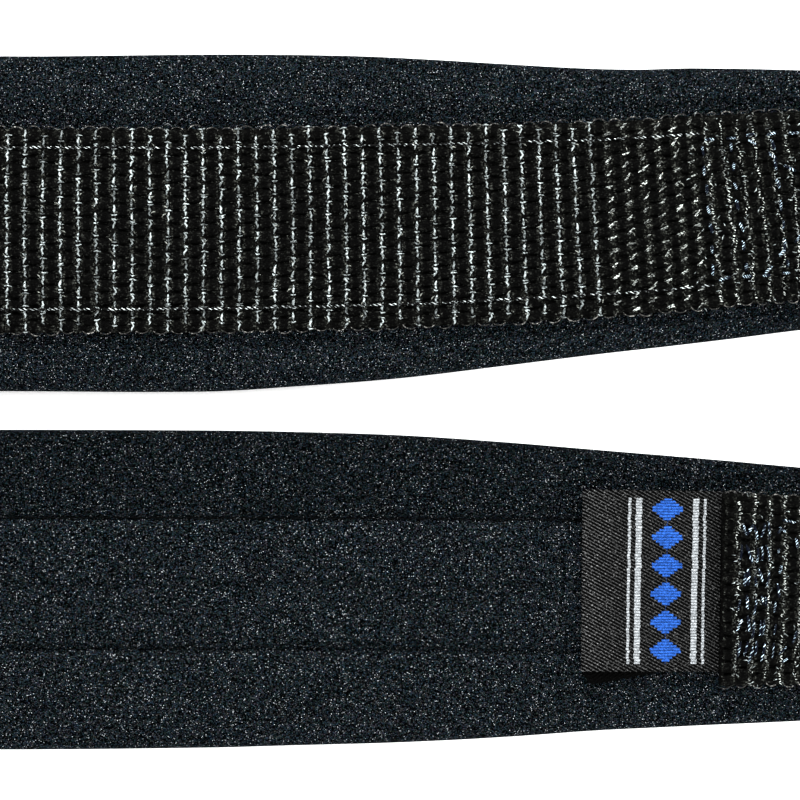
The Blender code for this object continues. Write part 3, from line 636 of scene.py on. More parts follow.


# finishes with painted glints, for the crossings, strays, frayed ends and edge loops
FILAMENT = filament("bright_filament", (0.88, 1.0, 1.0), 0.88)
DIM_FILAMENT = filament("dim_filament", (0.95, 1.0, 0.9), 0.56)
FRAYED_FILAMENT = filament("frayed_filament", (0.93, 1.0, 0.95), 1.6, (0.41, 0.57), 0.6)
EDGE_FILAMENT = filament("edge_filament", (1.0, 0.98, 0.92), 0.5, (0.52, 0.66))
THREAD = thread("black_thread", (0.9, 1.0, 1.0), 1.45, (0.001, 0.001, 0.001))
BLUE_THREAD = thread("bluish_thread", (0.66, 0.86, 1.0), 2.2, (0.0012, 0.0025, 0.007))
SEAM_THREAD = thread("seam_thread", (0.6, 0.9, 1.0), 0.01, (0.0006, 0.0008, 0.001))
print("made", FILAMENT.name, THREAD.name, BLUE_THREAD.name)

# %% [markdown]
# ## Mesh helpers
# `tube_mesh` joins rows of points into a closed tube of quads with a flat map, and `show` makes an
# object a piece that rides on the strap's one body.


# %% From rows of points to pieces
def new_object(name, mesh, finish):
    obj = bpy.data.objects.new(name, mesh)
    bpy.context.scene.collection.objects.link(obj)
    mesh.materials.clear()
    mesh.materials.append(finish)
    return obj


def volume(mesh):
    mesh.calc_loop_triangles()
    points = np.empty(len(mesh.vertices) * 3)
    mesh.vertices.foreach_get("co", points)
    corners = np.empty(len(mesh.loop_triangles) * 3, np.int64)
    mesh.loop_triangles.foreach_get("vertices", corners)
    a, b, c = points.reshape(-1, 3)[corners.reshape(-1, 3)].transpose(1, 0, 2)
    return float((a * np.cross(b, c)).sum() / 6)


def face_outwards(mesh):
    if volume(mesh) < 0.0:
        mesh.flip_normals()


def tube_mesh(name, grid, flat):
    """A closed tube through rows of points, with flat ends.

    grid is (rows, round, 3), and flat, its map, is (rows, round + 1, 2)."""
    rows, around = grid.shape[:2]
    i, j = np.meshgrid(np.arange(rows - 1), np.arange(around), indexing="ij")
    k = (j + 1) % around
    row, following = i * around, (i + 1) * around
    faces = np.stack([row + j, row + k, following + k, following + j], axis=-1)
    maps = np.stack([flat[i, j], flat[i, j + 1], flat[i + 1, j + 1], flat[i + 1, j]], axis=2)
    ends = [list(range(around))[::-1], list(range((rows - 1) * around, rows * around))]
    mesh = bpy.data.meshes.new(name)
    mesh.from_pydata(grid.reshape(-1, 3).tolist(), [], faces.reshape(-1, 4).tolist() + ends)
    end_maps = np.concatenate([flat[0, :-1][::-1], flat[-1, :-1]])
    layer = mesh.uv_layers.new(name="flat")
    layer.data.foreach_set("uv", np.concatenate([maps.reshape(-1, 2), end_maps]).ravel())
    mesh.shade_smooth()
    face_outwards(mesh)
    return mesh


def finished_mesh(bm, name):
    """What was built in bm, as a mesh."""
    mesh = bpy.data.meshes.new(name)
    bm.to_mesh(mesh)
    bm.free()
    return mesh


def show(obj):
    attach(obj, "root")
    obj.data.calc_loop_triangles()
    places = np.empty(len(obj.data.vertices) * 3)
    obj.data.vertices.foreach_get("co", places)
    lowest = places[2::3].min() / MM
    print(f"{obj.name}: {len(obj.data.loop_triangles)} triangles, from {lowest:.2f} mm up")


print("mesh helpers ready")

# %% [markdown]
# ## The foam pad
# A real pad is cut from foam sheet, wrapped in jersey and turned at its edges. A cloth simulation
# would puff it up evenly, but this pad is thin, flat and sewn down all along, so its section is drawn
# instead: a smooth closed curve runs through the control points, and the curve is repeated every
# 1.6 mm. The sewn channels pucker a little at every stitch, and each margin waves softly where the
# stitching pulls it. One lip of each channel and the panel's upper margin get painted shade, and the
# other lip a painted highlight: the mesh keeps that as a point attribute for the jersey.

# %% Pad
PAD_STEP = 1.6 * MM
CURVE_STEPS = 4
EDGE_ROUND = 1.6 * MM
EDGE_PLACES = (0.0, 0.12, 0.35, 0.65, 1.0)
WAVE_LENGTHS = (61 * MM, 37 * MM, 23 * MM)
WAVE_HEIGHT = 0.25 * MM
PUCKER_REACH = 1.3 * MM
PUCKER_HEIGHT = 0.12 * MM
THINNEST = 0.35
MARGIN_SHADE = 0.74
CHANNEL_SHADE = 0.35
CHANNEL_LIGHT = 0.25
CHANNEL_LIP = 0.85 * MM
STITCH_LENGTH = 3.3 * MM


def through(points, steps):
    """A closed smooth curve through each row's points, from (rows, n, 2) to (rows, n * steps, 2)."""
    before, after, next_after = (np.roll(points, shift, axis=1) for shift in (1, -1, -2))
    rate = after - before
    bend = 2 * before - 5 * points + 4 * after - next_after
    twist = 3 * points - before - 3 * after + next_after
    shares = np.arange(steps) / steps
    pieces = [0.5 * (2 * points + rate * t + bend * t**2 + twist * t**3) for t in shares]
    return np.stack(pieces, axis=2).reshape(points.shape[0], -1, 2)


def waves(s, lengths, seed):
    """A gentle irregular wave along s, about 1 high, from a few sine waves."""
    chance = np.random.default_rng(seed)
    total = sum(np.sin(s / length * 2 * math.pi + chance.uniform(0, 6.28)) for length in lengths)
    return total / len(lengths)


def pad_rows(s):
    """The pad's finished outline at each s, in strap space."""
    outline = through(pad_section(s), CURVE_STEPS)
    across, out = outline[:, :, 0], outline[:, :, 1]
    depth = pad_depth(s)[:, None]
    edge_part = smooth((np.abs(across) - webbing_half(s)[:, None]) / (3 * MM))
    for sign, seed in ((1, 11), (-1, 12)):
        wave = waves(s, WAVE_LENGTHS, seed)[:, None] * WAVE_HEIGHT
        out = out + wave * edge_part * (np.sign(across) == sign) * (out > -depth / 2)
    from_seam = (np.abs(across) - SEAM_SPACING / 2) / PUCKER_REACH
    stitch = np.cos(s / STITCH_LENGTH * 2 * math.pi)[:, None]
    out = out + np.exp(-(from_seam**2)) * (out < -depth / 2) * stitch * PUCKER_HEIGHT
    inside = np.clip(end_distance(s), 0.0, EDGE_ROUND)[:, None] / EDGE_ROUND
    fill = lerp(THINNEST, 1.0, np.sqrt(np.maximum(0.0, 1.0 - (1.0 - inside) ** 2)))
    return across, lerp(-depth / 2, out, fill)


def painted_channel_shade(s, across, out):
    """How bright the jersey is painted: 1 where no shade or highlight is painted."""
    inner = out < -pad_depth(s)[:, None] * 0.6
    margin = smooth((across - SEAM_SPACING / 2) / (2 * MM))
    beside = across - np.sign(across) * SEAM_SPACING / 2
    # painted shade on the upper lip of each channel and on the upper margin, painted highlight on the
    # lower lip
    dark_lip = np.exp(-((beside / CHANNEL_LIP) ** 2)) * smooth(beside / CHANNEL_LIP + 1.0)
    light_lip = np.exp(-((beside / CHANNEL_LIP + 1.0) ** 2))
    lips = CHANNEL_LIGHT * light_lip - CHANNEL_SHADE * dark_lip
    return 1.0 + inner * (lips - (1.0 - MARGIN_SHADE) * margin)


def make_pad():
    ends = EDGE_ROUND * np.array(EDGE_PLACES)
    rows = np.arange(1, round(PAD_LENGTH / PAD_STEP) - 1) * PAD_STEP + EDGE_ROUND / 2
    s = np.concatenate([ends, rows])
    s = np.concatenate([s[s < PAD_LENGTH - EDGE_ROUND * 1.3], (PAD_LENGTH - ends)[::-1]])
    across, out = pad_rows(s)
    grid = lay(s[:, None] + 0 * across, across, out)
    steps = np.hypot(*(np.diff(side, axis=1, append=side[:, :1]) for side in (across, out)))
    around = np.concatenate([np.zeros((len(s), 1)), np.cumsum(steps, axis=1)], axis=1)
    flat = np.stack([s[:, None] + 0 * around, around], axis=-1)
    mesh = tube_mesh("foam_pad", grid, flat)
    # painted shade and painted highlight, kept at each point of the pad
    worn = painted_channel_shade(s, across, out).ravel().astype(np.float32)
    mesh.attributes.new("worn", "FLOAT", "POINT").data.foreach_set("value", worn)
    return new_object("foam_pad", mesh, JERSEY)


pad = make_pad()
show(pad)
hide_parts("neoprene_pad")

# %% [markdown]
# ## The webbing
# One woven band, sewn along the pad's outer face. Each end goes round a ring and back on the inner
# face. Its path is drawn in strap space as (s, v), and a place on it has three coordinates too: l
# along the path, u across, and h up from its middle layer.


# %% The webbing's path
TAIL_STEP = 0.4 * MM
WRAP_STEPS = 28
RUN_STEPS = 1600
SLOPE_STEP = 0.5 * MM


def webbing_path():
    """s, v and length l along the webbing's middle layer, and l where its run starts at s = 0."""
    outside = GAP + WEBBING_THICKNESS / 2
    tail = np.arange(TAIL_LENGTH, -BAR_REACH, -TAIL_STEP)
    angle = np.linspace(0.0, math.pi, WRAP_STEPS)
    wrap_s, wrap_v = WRAP_RADIUS * np.sin(angle), WRAP_RADIUS * np.cos(angle)
    run = np.linspace(-BAR_REACH, PAD_LENGTH + BAR_REACH, RUN_STEPS)[1:-1]
    back = PAD_LENGTH - tail[::-1]
    s = np.concatenate([tail, -BAR_REACH - wrap_s, run, PAD_LENGTH + BAR_REACH + wrap_s, back])
    v = np.concatenate([
        -pad_depth(tail) - outside,
        -RING_BAR / 2 - wrap_v,
        np.full(len(run), outside),
        -RING_BAR / 2 + wrap_v,
        -pad_depth(back) - tail_cover(back) - outside,
    ])
    length = np.concatenate([[0.0], np.cumsum(np.hypot(np.diff(s), np.diff(v)))])
    return s, v, length, length[len(tail) + len(angle)] - run[0]


PATH_S, PATH_V, PATH_L, RUN_ZERO = webbing_path()
PATH_END = PATH_L[-1]


def change(l, lengths, values):
    """How much the values change over a short step at l."""
    ahead = np.clip(l + SLOPE_STEP, 0.0, lengths[-1])
    behind = np.clip(l - SLOPE_STEP, 0.0, lengths[-1])
    return np.interp(ahead, lengths, values) - np.interp(behind, lengths, values)


def on_webbing(l, u, h):
    """Puts points of webbing space into the frame."""
    along_s, along_v = change(l, PATH_L, PATH_S), change(l, PATH_L, PATH_V)
    length = np.hypot(along_s, along_v)
    s = np.interp(l, PATH_L, PATH_S)
    v = np.interp(l, PATH_L, PATH_V)
    narrowed = u * webbing_half(s) / (WEBBING_WIDTH / 2)
    return lay(s - along_v / length * h, narrowed, v + along_s / length * h)


print(f"the webbing is {PATH_END / MM:.0f} mm long, and its run starts at {RUN_ZERO / MM:.1f} mm")

# %% [markdown]
# Under the woven yarns lies a plain band, a little thinner than the webbing, which closes the gaps
# between them. It is a tube of quads like the pad. The weave has a length of its own, w: near the
# pad's ends the box stitches draw it in, so there more of it goes into a millimetre of the path.

# %% The band under the yarns
WEBBING_HALF = WEBBING_WIDTH / 2
WEAVE_HEIGHT = 0.55 * MM
TOP = WEBBING_THICKNESS / 2
GROOVE_AT = 169.33 * MM
BOX_REACH = 42 * MM
PULL_REACH = 59 * MM
DRAWN_IN = 0.895
RIB_PITCH = 3.28 * MM
LENGTH_SAMPLES = 3000
BAND_COLUMNS = 9


def woven_length():
    """The flat weave's length at places along the path."""
    l = np.linspace(0.0, PATH_END, LENGTH_SAMPLES)
    reach = np.interp(l, PATH_L, end_distance(PATH_S))
    reach = np.where((l < RUN_ZERO) | (l > RUN_ZERO + PAD_LENGTH), 0.0, reach)
    density = lerp(1.0 / DRAWN_IN, 1.0, smooth((reach - BOX_REACH) / (PULL_REACH - BOX_REACH)))
    return l, np.concatenate([[0.0], np.cumsum((density[1:] + density[:-1]) / 2 * np.diff(l))])


WEAVE_L, WEAVE_W = woven_length()
WEAVE_END = WEAVE_W[-1]
WEAVE_ZERO = float(np.interp(GROOVE_AT + RUN_ZERO, WEAVE_L, WEAVE_W))
COLUMN_PITCH = (WEAVE_END - WEAVE_ZERO) / round((WEAVE_END - WEAVE_ZERO) / RIB_PITCH)
FIRST_GROOVE = WEAVE_ZERO % COLUMN_PITCH
YARN = yarn("webbing_yarn", FIRST_GROOVE, COLUMN_PITCH)


def band_rows(length, half, low, high, edge, step):
    """Rows of (l, u, h) round a flat band with soft edges, from end to end."""
    middle = np.linspace(-1.0, 1.0, BAND_COLUMNS) * (half - edge)
    u = np.concatenate([middle, [half, half], middle[::-1], [-half, -half]])
    top, foot = np.full(BAND_COLUMNS, high), np.full(BAND_COLUMNS, low)
    h = np.concatenate([top, [high - edge, low + edge], foot, [low + edge, high - edge]])
    l = np.linspace(0.0, length, round(length / step) + 1)
    return np.stack([l[:, None] + 0 * u, u + 0 * l[:, None], h + 0 * l[:, None]], axis=-1)


def band(name, rows, lay_on, finish):
    """A flat band laid by a mapping, with its flat map."""
    grid = lay_on(rows[..., 0], rows[..., 1], rows[..., 2])
    flat = np.concatenate([rows[..., :2], rows[:, :1, :2]], axis=1)
    return new_object(name, tube_mesh(name, grid, flat), finish)


half_width, step = WEBBING_HALF - 0.5 * MM, 1.5 * MM
rows = band_rows(PATH_END, half_width, -TOP, TOP - WEAVE_HEIGHT, WEBBING_EDGE, step)
webbing = band("webbing_band", rows, on_webbing, YARN)
show(webbing)
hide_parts("webbing")

# %% [markdown]
# ## Weaving with Geometry Nodes
# A plain weave is one small shape repeated in staggered columns, more than three thousand times here.
# Geometry Nodes set it out flat: a line of points, each moved to its column and row by its index,
# with a shape from a small collection on each. Then the flat cloth is made a plain mesh, and the
# mapping lays it along the strap. The same tree weaves the floats, the yarn crossings in the grooves,
# the loops along the edges and the narrow strap's cloth.


# %% A tree for woven rows
LAST_PICK = 9
SIZE_RANGE = (0.92, 1.08)


def new_tree(name, *sockets):
    """A Geometry Nodes tree with named inputs, as (board, wires by name)."""
    tree = bpy.data.node_groups.new(name, "GeometryNodeTree")
    tree.interface.new_socket("Geometry", in_out="INPUT", socket_type="NodeSocketGeometry")
    for label, kind in sockets:
        tree.interface.new_socket(label, in_out="INPUT", socket_type="NodeSocket" + kind)
    tree.interface.new_socket("Geometry", in_out="OUTPUT", socket_type="NodeSocketGeometry")
    board = Board(tree)
    entry = tree.nodes.new("NodeGroupInput")
    return board, {socket.name: Wire(board, socket) for socket in entry.outputs if socket.name}


def chance(board, low, high, seed, more=0):
    """A random number for each point."""
    settings = {"data_type": "FLOAT"}
    return board.node("FunctionNodeRandomValue", settings, {2: low, 3: high, 8: seed + more}, 1)


def dress_points(board, points, spin, scale, sockets, keep=True):
    """A random shape on each point, with a shine of its own, made real and given its finish."""
    shapes = board.node(
        "GeometryNodeCollectionInfo", None,
        {"Collection": sockets["Shapes"], "Separate Children": True, "Reset Children": True},
    )
    settings = {"data_type": "INT"}
    choice = {4: 0, 5: LAST_PICK, 8: sockets["Seed"] + 5}
    pick = board.node("FunctionNodeRandomValue", settings, choice, 2)
    placed = board.node(
        "GeometryNodeInstanceOnPoints", None,
        {"Points": points, "Selection": keep, "Instance": shapes, "Pick Instance": True,
         "Instance Index": pick, "Rotation": spin, "Scale": scale},
    )
    shine = chance(board, 0.0, 1.0, sockets["Seed"], 6)
    settings = {"data_type": "FLOAT", "domain": "INSTANCE"}
    kept = {"Geometry": placed, "Name": "shine", "Value": shine}
    marked = board.node("GeometryNodeStoreNamedAttribute", settings, kept)
    real = board.node("GeometryNodeRealizeInstances", None, {0: marked})
    values = {"Geometry": real, "Material": sockets["Finish"]}
    board.node("NodeGroupOutput", None, {0: board.node("GeometryNodeSetMaterial", None, values)})


def weaving_tree():
    board, sockets = new_tree(
        "woven_rows", ("Shapes", "Collection"), ("Start", "Float"), ("Columns", "Int"), ("Rows", "Int"),
        ("Column Pitch", "Float"), ("Row Pitch", "Float"), ("Height", "Float"), ("Stagger", "Float"),
        ("Face Out", "Float"), ("Jitter", "Float"), ("Spin", "Float"), ("Seed", "Int"),
        ("Finish", "Material"),
    )
    rows, seed, jitter = sockets["Rows"], sockets["Seed"], sockets["Jitter"]
    line = board.node("GeometryNodeMeshLine", None, {"Count": sockets["Columns"] * rows})
    index = board.node("GeometryNodeInputIndex")
    column = board.maths("FLOOR", (index + 0.5) / rows)
    row = index - column * rows
    odd = column % 2.0
    across = (row - (rows - 1.0) * 0.5 + odd * sockets["Stagger"]) * sockets["Row Pitch"]
    along = sockets["Start"] + column * sockets["Column Pitch"]
    place = board.node("ShaderNodeCombineXYZ", None, {
        0: along + chance(board, -1.0, 1.0, seed) * jitter,
        1: across + chance(board, -1.0, 1.0, seed, 1) * jitter,
        2: sockets["Height"] + chance(board, -0.5, 0.5, seed, 2) * jitter,
    })
    points = board.node("GeometryNodeSetPosition", None, {"Geometry": line, "Position": place})
    keep = (odd * (sockets["Stagger"] > 0.1) * (row > rows - 1.5)) < 0.5
    turned_out = (across < 0.0) * sockets["Face Out"] * math.pi
    turn = chance(board, -1.0, 1.0, seed, 3) * sockets["Spin"] + turned_out
    spin = board.node("ShaderNodeCombineXYZ", None, {2: turn})
    size = chance(board, *SIZE_RANGE, seed, 4)
    dress_points(board, points, spin, place_vector(board, size, size, size), sockets, keep)
    return board.tree


WEAVE = weaving_tree()
print("the weaving tree has", len(WEAVE.nodes), "nodes")

# %% [markdown]
# A tree only works on an object. So a host object carries it for a moment, `new_from_object` keeps
# the result as a plain mesh, and host and shapes are removed before the mesh becomes a piece.


# %% Growing a tree into a plain mesh
def grow(name, tree, shapes, values, seeds=None):
    """The tree's result as a plain mesh. The shapes are only needed while it grows."""
    collection = bpy.data.collections.new(name + "_shapes")
    for mesh in shapes:
        collection.objects.link(bpy.data.objects.new(mesh.name, mesh))
    host = bpy.data.objects.new(name, seeds or bpy.data.meshes.new(name + "_seeds"))
    bpy.context.scene.collection.objects.link(host)
    modifier = host.modifiers.new("grow", "NODES")
    modifier.node_group = tree
    for item in tree.interface.items_tree:
        if item.in_out == "INPUT" and item.name in values:
            modifier[item.identifier] = values[item.name]
        if item.name == "Shapes":
            modifier[item.identifier] = collection
    graph = bpy.context.evaluated_depsgraph_get()
    mesh = bpy.data.meshes.new_from_object(
        host.evaluated_get(graph), preserve_all_data_layers=True, depsgraph=graph
    )
    for obj in [host, *collection.objects]:
        bpy.data.objects.remove(obj)
    bpy.data.collections.remove(collection)
    return mesh


def laid(name, mesh, lay_on, finish, flat_from_place=True):
    """A piece from a flat mesh: its places become its flat map, and the mapping puts it in the frame."""
    points = np.empty(len(mesh.vertices) * 3)
    mesh.vertices.foreach_get("co", points)
    points = points.reshape(-1, 3)
    if flat_from_place:
        corners = np.empty(len(mesh.loops), np.int64)
        mesh.loops.foreach_get("vertex_index", corners)
        layer = mesh.uv_layers.get("flat") or mesh.uv_layers.new(name="flat")
        layer.data.foreach_set("uv", points[corners, :2].ravel())
    mesh.vertices.foreach_set("co", lay_on(*points.T).ravel())
    mesh.update()
    mesh.shade_smooth()
    face_outwards(mesh)
    return new_object(name, mesh, finish)


print("a tree grows flat, then it is laid")

# %% [markdown]
# A float is where a lengthwise yarn bundle lies over a rib: a little cushion, longer than wide,
# narrower at its two ends where it dives between its neighbours. Its top is a grid of points, closed
# by one flat face. The whole weave wavers slowly, as a real one does, and more near the box stitches.


# %% Floats
ROW_PITCH = 2.53 * MM
ROWS = 15
GROOVE = 0.8 * MM
END_NARROWING = 0.26
WAVER_ALONG = 0.11 * MM
WAVER_ACROSS = 0.05 * MM
BOX_PULL = 2.5


def cushion(name, places_along, places_across, place):
    """A closed mesh: a grid of points, placed by a function of (a, b) from -1 to 1, and a foot."""
    bm = bmesh.new()
    grid = [[bm.verts.new(place(a, b)) for b in places_across] for a in places_along]
    for row, following in zip(grid, grid[1:]):
        for i in range(len(row) - 1):
            bm.faces.new((row[i], following[i], following[i + 1], row[i + 1]))
    sides = [row[-1] for row in grid[1:-1]], [row[0] for row in grid[-2:0:-1]]
    bm.faces.new(grid[0] + sides[0] + grid[-1][::-1] + sides[1])
    bmesh.ops.recalc_face_normals(bm, faces=bm.faces)
    return finished_mesh(bm, name)


def float_shape(name, length, width, height, lean):
    """A domed top on a flat foot."""
    def place(a, b):
        dome = max(0.0, 1.0 - a**4) ** 0.5 * max(0.0, 1.0 - abs(b) ** 2.6) ** 0.5
        x = a * length / 2 + lean * b * (1.0 - a * a)
        return x, b * width / 2 * (1.0 - END_NARROWING * a**4), dome * height

    return cushion(name, (-1.0, -0.86, -0.36, 0.36, 0.86, 1.0), (-1.0, -0.66, 0.0, 0.66, 1.0), place)


def weave_values(columns, start, finish, seed, **changes):
    """The weaving tree's inputs for the broad webbing, with what differs for one kind of shape."""
    values = {
        "Start": start, "Columns": columns, "Rows": ROWS, "Column Pitch": COLUMN_PITCH,
        "Row Pitch": ROW_PITCH, "Height": TOP - WEAVE_HEIGHT, "Stagger": 0.5, "Face Out": 0.0,
        "Jitter": 0.05 * MM, "Spin": 0.05, "Seed": seed, "Finish": finish,
    }
    names = {name.replace("_", " "): value for name, value in changes.items()}
    return {**values, **names}


COLUMNS = round((WEAVE_END - FIRST_GROOVE) / COLUMN_PITCH)


def wavy(l, u, h):
    """Webbing space with the slow waver of a real weave, stronger where the box stitches pull on it."""
    s = np.interp(l, PATH_L, PATH_S)
    pulled = 1.0 + BOX_PULL * smooth((TAIL_LENGTH + 4 * MM - end_distance(s)) / (12 * MM))
    shift = np.sin(l / (17 * MM) + u / (9 * MM)) + np.sin(l / (41 * MM) - u / (13 * MM) + 1.3)
    across = np.sin(l / (7 * MM) + 0.7) + np.sin(l / (3.1 * MM) + u / (8 * MM))
    held = 1.0 - (np.abs(u) / WEBBING_HALF) ** 4
    inside = smooth(np.minimum(l, PATH_END - l) / (6 * MM))
    l = l + shift * pulled * inside * WAVER_ALONG
    return on_webbing(l, u + across * held * pulled * WAVER_ACROSS, h)


def woven(w, u, h):
    """Puts points of the flat weave into the frame."""
    return wavy(np.interp(w, WEAVE_W, WEAVE_L), u, h)


FLOATS = (
    ("plain_float", 1.0, 0.97, 1.0, 0.0),
    ("left_float", 1.1, 0.95, 0.96, 0.12 * MM),
    ("right_float", 0.9, 0.96, 0.93, -0.12 * MM),
)
shapes = [
    float_shape(name, COLUMN_PITCH - GROOVE * gap, ROW_PITCH * width, WEAVE_HEIGHT * height, lean)
    for name, gap, width, height, lean in FLOATS
]
middle = FIRST_GROOVE + COLUMN_PITCH / 2
floats = grow("webbing_floats", WEAVE, shapes, weave_values(COLUMNS, middle, YARN, 3))
show(laid("webbing_floats", floats, woven, YARN))

# %% [markdown]
# In every groove the yarns of the two ribs cross, one crossing to each row. Seen close, each is a
# short kinked bundle of filaments with a small tick over it. They are thin three-sided strands.


# %% Crossings in the grooves
STRAND_TIP = 0.45
STRAND_ANGLES = (math.pi / 2, math.pi * 7 / 6, math.pi * 11 / 6)


def strand_mesh(name, lines):
    """Thin closed strands, each line being (radius, points). The flat map runs along and round them."""
    bm = bmesh.new()
    for radius, points in lines:
        spots = [Vector(point) * MM for point in points]
        rings = []
        for i, spot in enumerate(spots):
            ahead, behind = spots[min(i + 1, len(spots) - 1)], spots[max(i - 1, 0)]
            along = (ahead - behind).normalized()
            side = along.cross(Vector((0.0, 0.0, 1.0))).normalized()
            up = side.cross(along)
            thick = radius * MM * (STRAND_TIP if i in (0, len(spots) - 1) else 1.0)
            rings.append([
                bm.verts.new(spot + (side * math.cos(a) + up * math.sin(a)) * thick)
                for a in STRAND_ANGLES
            ])
        for ring, following in zip(rings, rings[1:]):
            for i in range(3):
                bm.faces.new((ring[i], ring[(i + 1) % 3], following[(i + 1) % 3], following[i]))
        bm.faces.new(rings[0][::-1])
        bm.faces.new(rings[-1])
    bmesh.ops.recalc_face_normals(bm, faces=bm.faces)
    return finished_mesh(bm, name)


# Each shape is a row of strands, and a strand is (radius, points) in millimetres.
CROSSINGS = (
    (
        (0.27, ((0.1, -1.0, 0.0), (-0.12, -0.5, 0.2), (0.14, 0.05, 0.25), (-0.08, 0.5, 0.25),
                (0.02, 0.95, 0.1))),
        (0.19, ((-0.74, 1.1, 0.0), (0.05, 1.22, 0.35), (0.72, 1.06, 0.0))),
    ),
    (
        (0.25, ((-0.2, -0.95, 0.0), (0.12, -0.55, 0.2), (-0.1, 0.0, 0.3), (0.1, 0.55, 0.2),
                (0.0, 0.9, 0.0))),
        (0.2, ((-0.7, 1.24, 0.0), (0.0, 1.06, 0.35), (0.66, 1.24, 0.0))),
    ),
    (
        (0.29, ((0.0, -0.8, 0.0), (0.06, -0.3, 0.25), (-0.06, 0.2, 0.25), (0.02, 0.8, 0.1))),
        (0.17, ((-0.6, -0.95, 0.0), (0.05, -1.12, 0.3), (0.7, -0.98, 0.0))),
    ),
    (
        (0.23, ((0.3, -0.9, 0.0), (0.14, -0.3, 0.25), (-0.2, 0.1, 0.25), (0.05, 0.6, 0.25),
                (0.4, 1.0, 0.0))),
        (0.18, ((-0.6, 0.6, 0.0), (-0.2, 0.82, 0.3), (0.3, 0.9, 0.1))),
    ),
    (
        (0.28, ((-0.1, -0.6, 0.0), (0.1, -0.1, 0.3), (0.0, 0.5, 0.3), (-0.1, 0.9, 0.0))),
        (0.2, ((-0.5, -0.8, 0.1), (0.1, -0.9, 0.3), (0.5, -0.6, 0.0))),
    ),
)
PLAIN = [strand_mesh(f"crossing_{i}", lines) for i, lines in enumerate(CROSSINGS)]
print(len(PLAIN), "shapes of crossing")

# %% [markdown]
# Near the pad's ends the box stitches pull the crossings aside and fray them. Those are short fine
# strokes: in a line that slants over the groove next to the boxes, and stacked along the groove and
# tilted to and fro under them. Single filaments stray over the ribs here and there.


# %% Frayed crossings and loose filaments
STROKE_RISE = 0.25
LOOSE = (
    ((0.11, ((-0.5, 0.0, 0.1), (0.0, 0.12, 0.4), (0.5, 0.0, 0.1))),),
    ((0.09, ((-0.35, 0.0, 0.1), (0.0, 0.05, 0.4), (0.4, 0.1, 0.1))),),
)


def stroke(radius, x, y, half, rise):
    """One short strand, as (radius, points)."""
    return radius, ((x - half, y - rise, 0.0), (x, y, STROKE_RISE), (x + half, y + rise, 0.0))


def frayed_lines(seed):
    """A crossing under the box stitches: strokes stacked along the groove, tilted to and fro."""
    chance = np.random.default_rng(seed)
    lines = []
    for place in np.arange(-1.05, 1.2, 0.52):
        half = chance.uniform(0.2, 0.36)
        tilt = chance.uniform(-0.25, 0.3)
        x, y = chance.uniform(-0.16, 0.16), place + chance.uniform(-0.12, 0.12)
        lines.append(stroke(chance.uniform(0.09, 0.145), x, y, half, tilt))
    return lines


def slanted_lines(seed):
    """A crossing that the box stitches pull aside: strokes in a line that slants over the groove."""
    chance = np.random.default_rng(seed)
    lines = []
    for place in np.linspace(-1.0, 1.0, 6):
        half, slope = chance.uniform(0.24, 0.48), chance.uniform(0.1, 1.0)
        x, y = place * 0.62 + chance.uniform(-0.12, 0.12), -place * 0.36 + chance.uniform(-0.3, 0.3)
        lines.append(stroke(chance.uniform(0.1, 0.15), x, y, -half, half * slope))
    return lines


PULLED = [strand_mesh(f"slanted_{i}", slanted_lines(80 + i)) for i in range(6)]
FRAYED = [strand_mesh(f"frayed_{i}", frayed_lines(60 + i)) for i in range(6)]
STRAY = [strand_mesh(f"loose_{i}", lines) for i, lines in enumerate(LOOSE)]
print(len(PULLED), len(FRAYED), len(STRAY), "shapes of filament")

# %% [markdown]
# The tree weaves the crossings zone by zone, each zone in step with the whole weave. A row of the
# table below is one piece: its shapes, finish and seed, where it starts and stops, how high it lies
# and how far chance moves and turns each shape.


# %% Zones of the weave
def weave_zone(name, shapes, finish, seed, start, stop, **changes):
    """Woven shapes in the grooves between two places along the path, in step with the whole weave."""
    first = FIRST_GROOVE + COLUMN_PITCH
    start, stop = np.interp([start, stop], WEAVE_L, WEAVE_W)
    from_column = max(0, math.ceil((start - first) / COLUMN_PITCH - 1e-6))
    count = math.ceil((stop - first) / COLUMN_PITCH - 1e-6) - from_column
    odd = from_column % 2
    first_place = first + (from_column - odd) * COLUMN_PITCH
    values = weave_values(count + odd, first_place, finish, seed, **changes)
    show(laid(name, grow(name, WEAVE, shapes, values), woven, finish))


RUN_END = RUN_ZERO + PAD_LENGTH
BOX_A, PULL_A = RUN_ZERO + BOX_REACH, RUN_ZERO + PULL_REACH
BOX_B, PULL_B = RUN_END - BOX_REACH, RUN_END - PULL_REACH
LAST = PATH_END - 1.0 * MM
LOW = TOP - 0.6 * MM
HIGH = TOP - 0.55 * MM
ZONES = (
    ("crossings_run", PLAIN, FILAMENT, 23, PULL_A, PULL_B, LOW, 0.12, 0.14),
    ("crossings_pulled_a", PULLED, FRAYED_FILAMENT, 22, BOX_A, PULL_A, LOW, 0.25, 0.35),
    ("crossings_pulled_b", PULLED, FRAYED_FILAMENT, 24, PULL_B, BOX_B, LOW, 0.25, 0.35),
    ("crossings_end_a", FRAYED, FRAYED_FILAMENT, 21, 0.0, BOX_A, LOW, 0.28, 0.4),
    ("crossings_end_b", FRAYED, FRAYED_FILAMENT, 25, BOX_B, LAST, LOW, 0.28, 0.4),
    ("loose_filaments_a", STRAY, FILAMENT, 31, 0.0, BOX_A + 2 * MM, HIGH, 1.5, math.pi),
    ("loose_filaments_b", STRAY, FILAMENT, 32, BOX_B - 2 * MM, LAST, HIGH, 1.5, math.pi),
    ("stray_filaments_a", STRAY, FILAMENT, 35, 0.0, BOX_A, HIGH, 0.9, 0.8),
    ("stray_filaments_b", STRAY, FILAMENT, 36, BOX_B, LAST, HIGH, 0.9, 0.8),
    ("stray_filaments_run", STRAY, DIM_FILAMENT, 37, BOX_A, BOX_B, LOW, 0.75, 1.2),
)
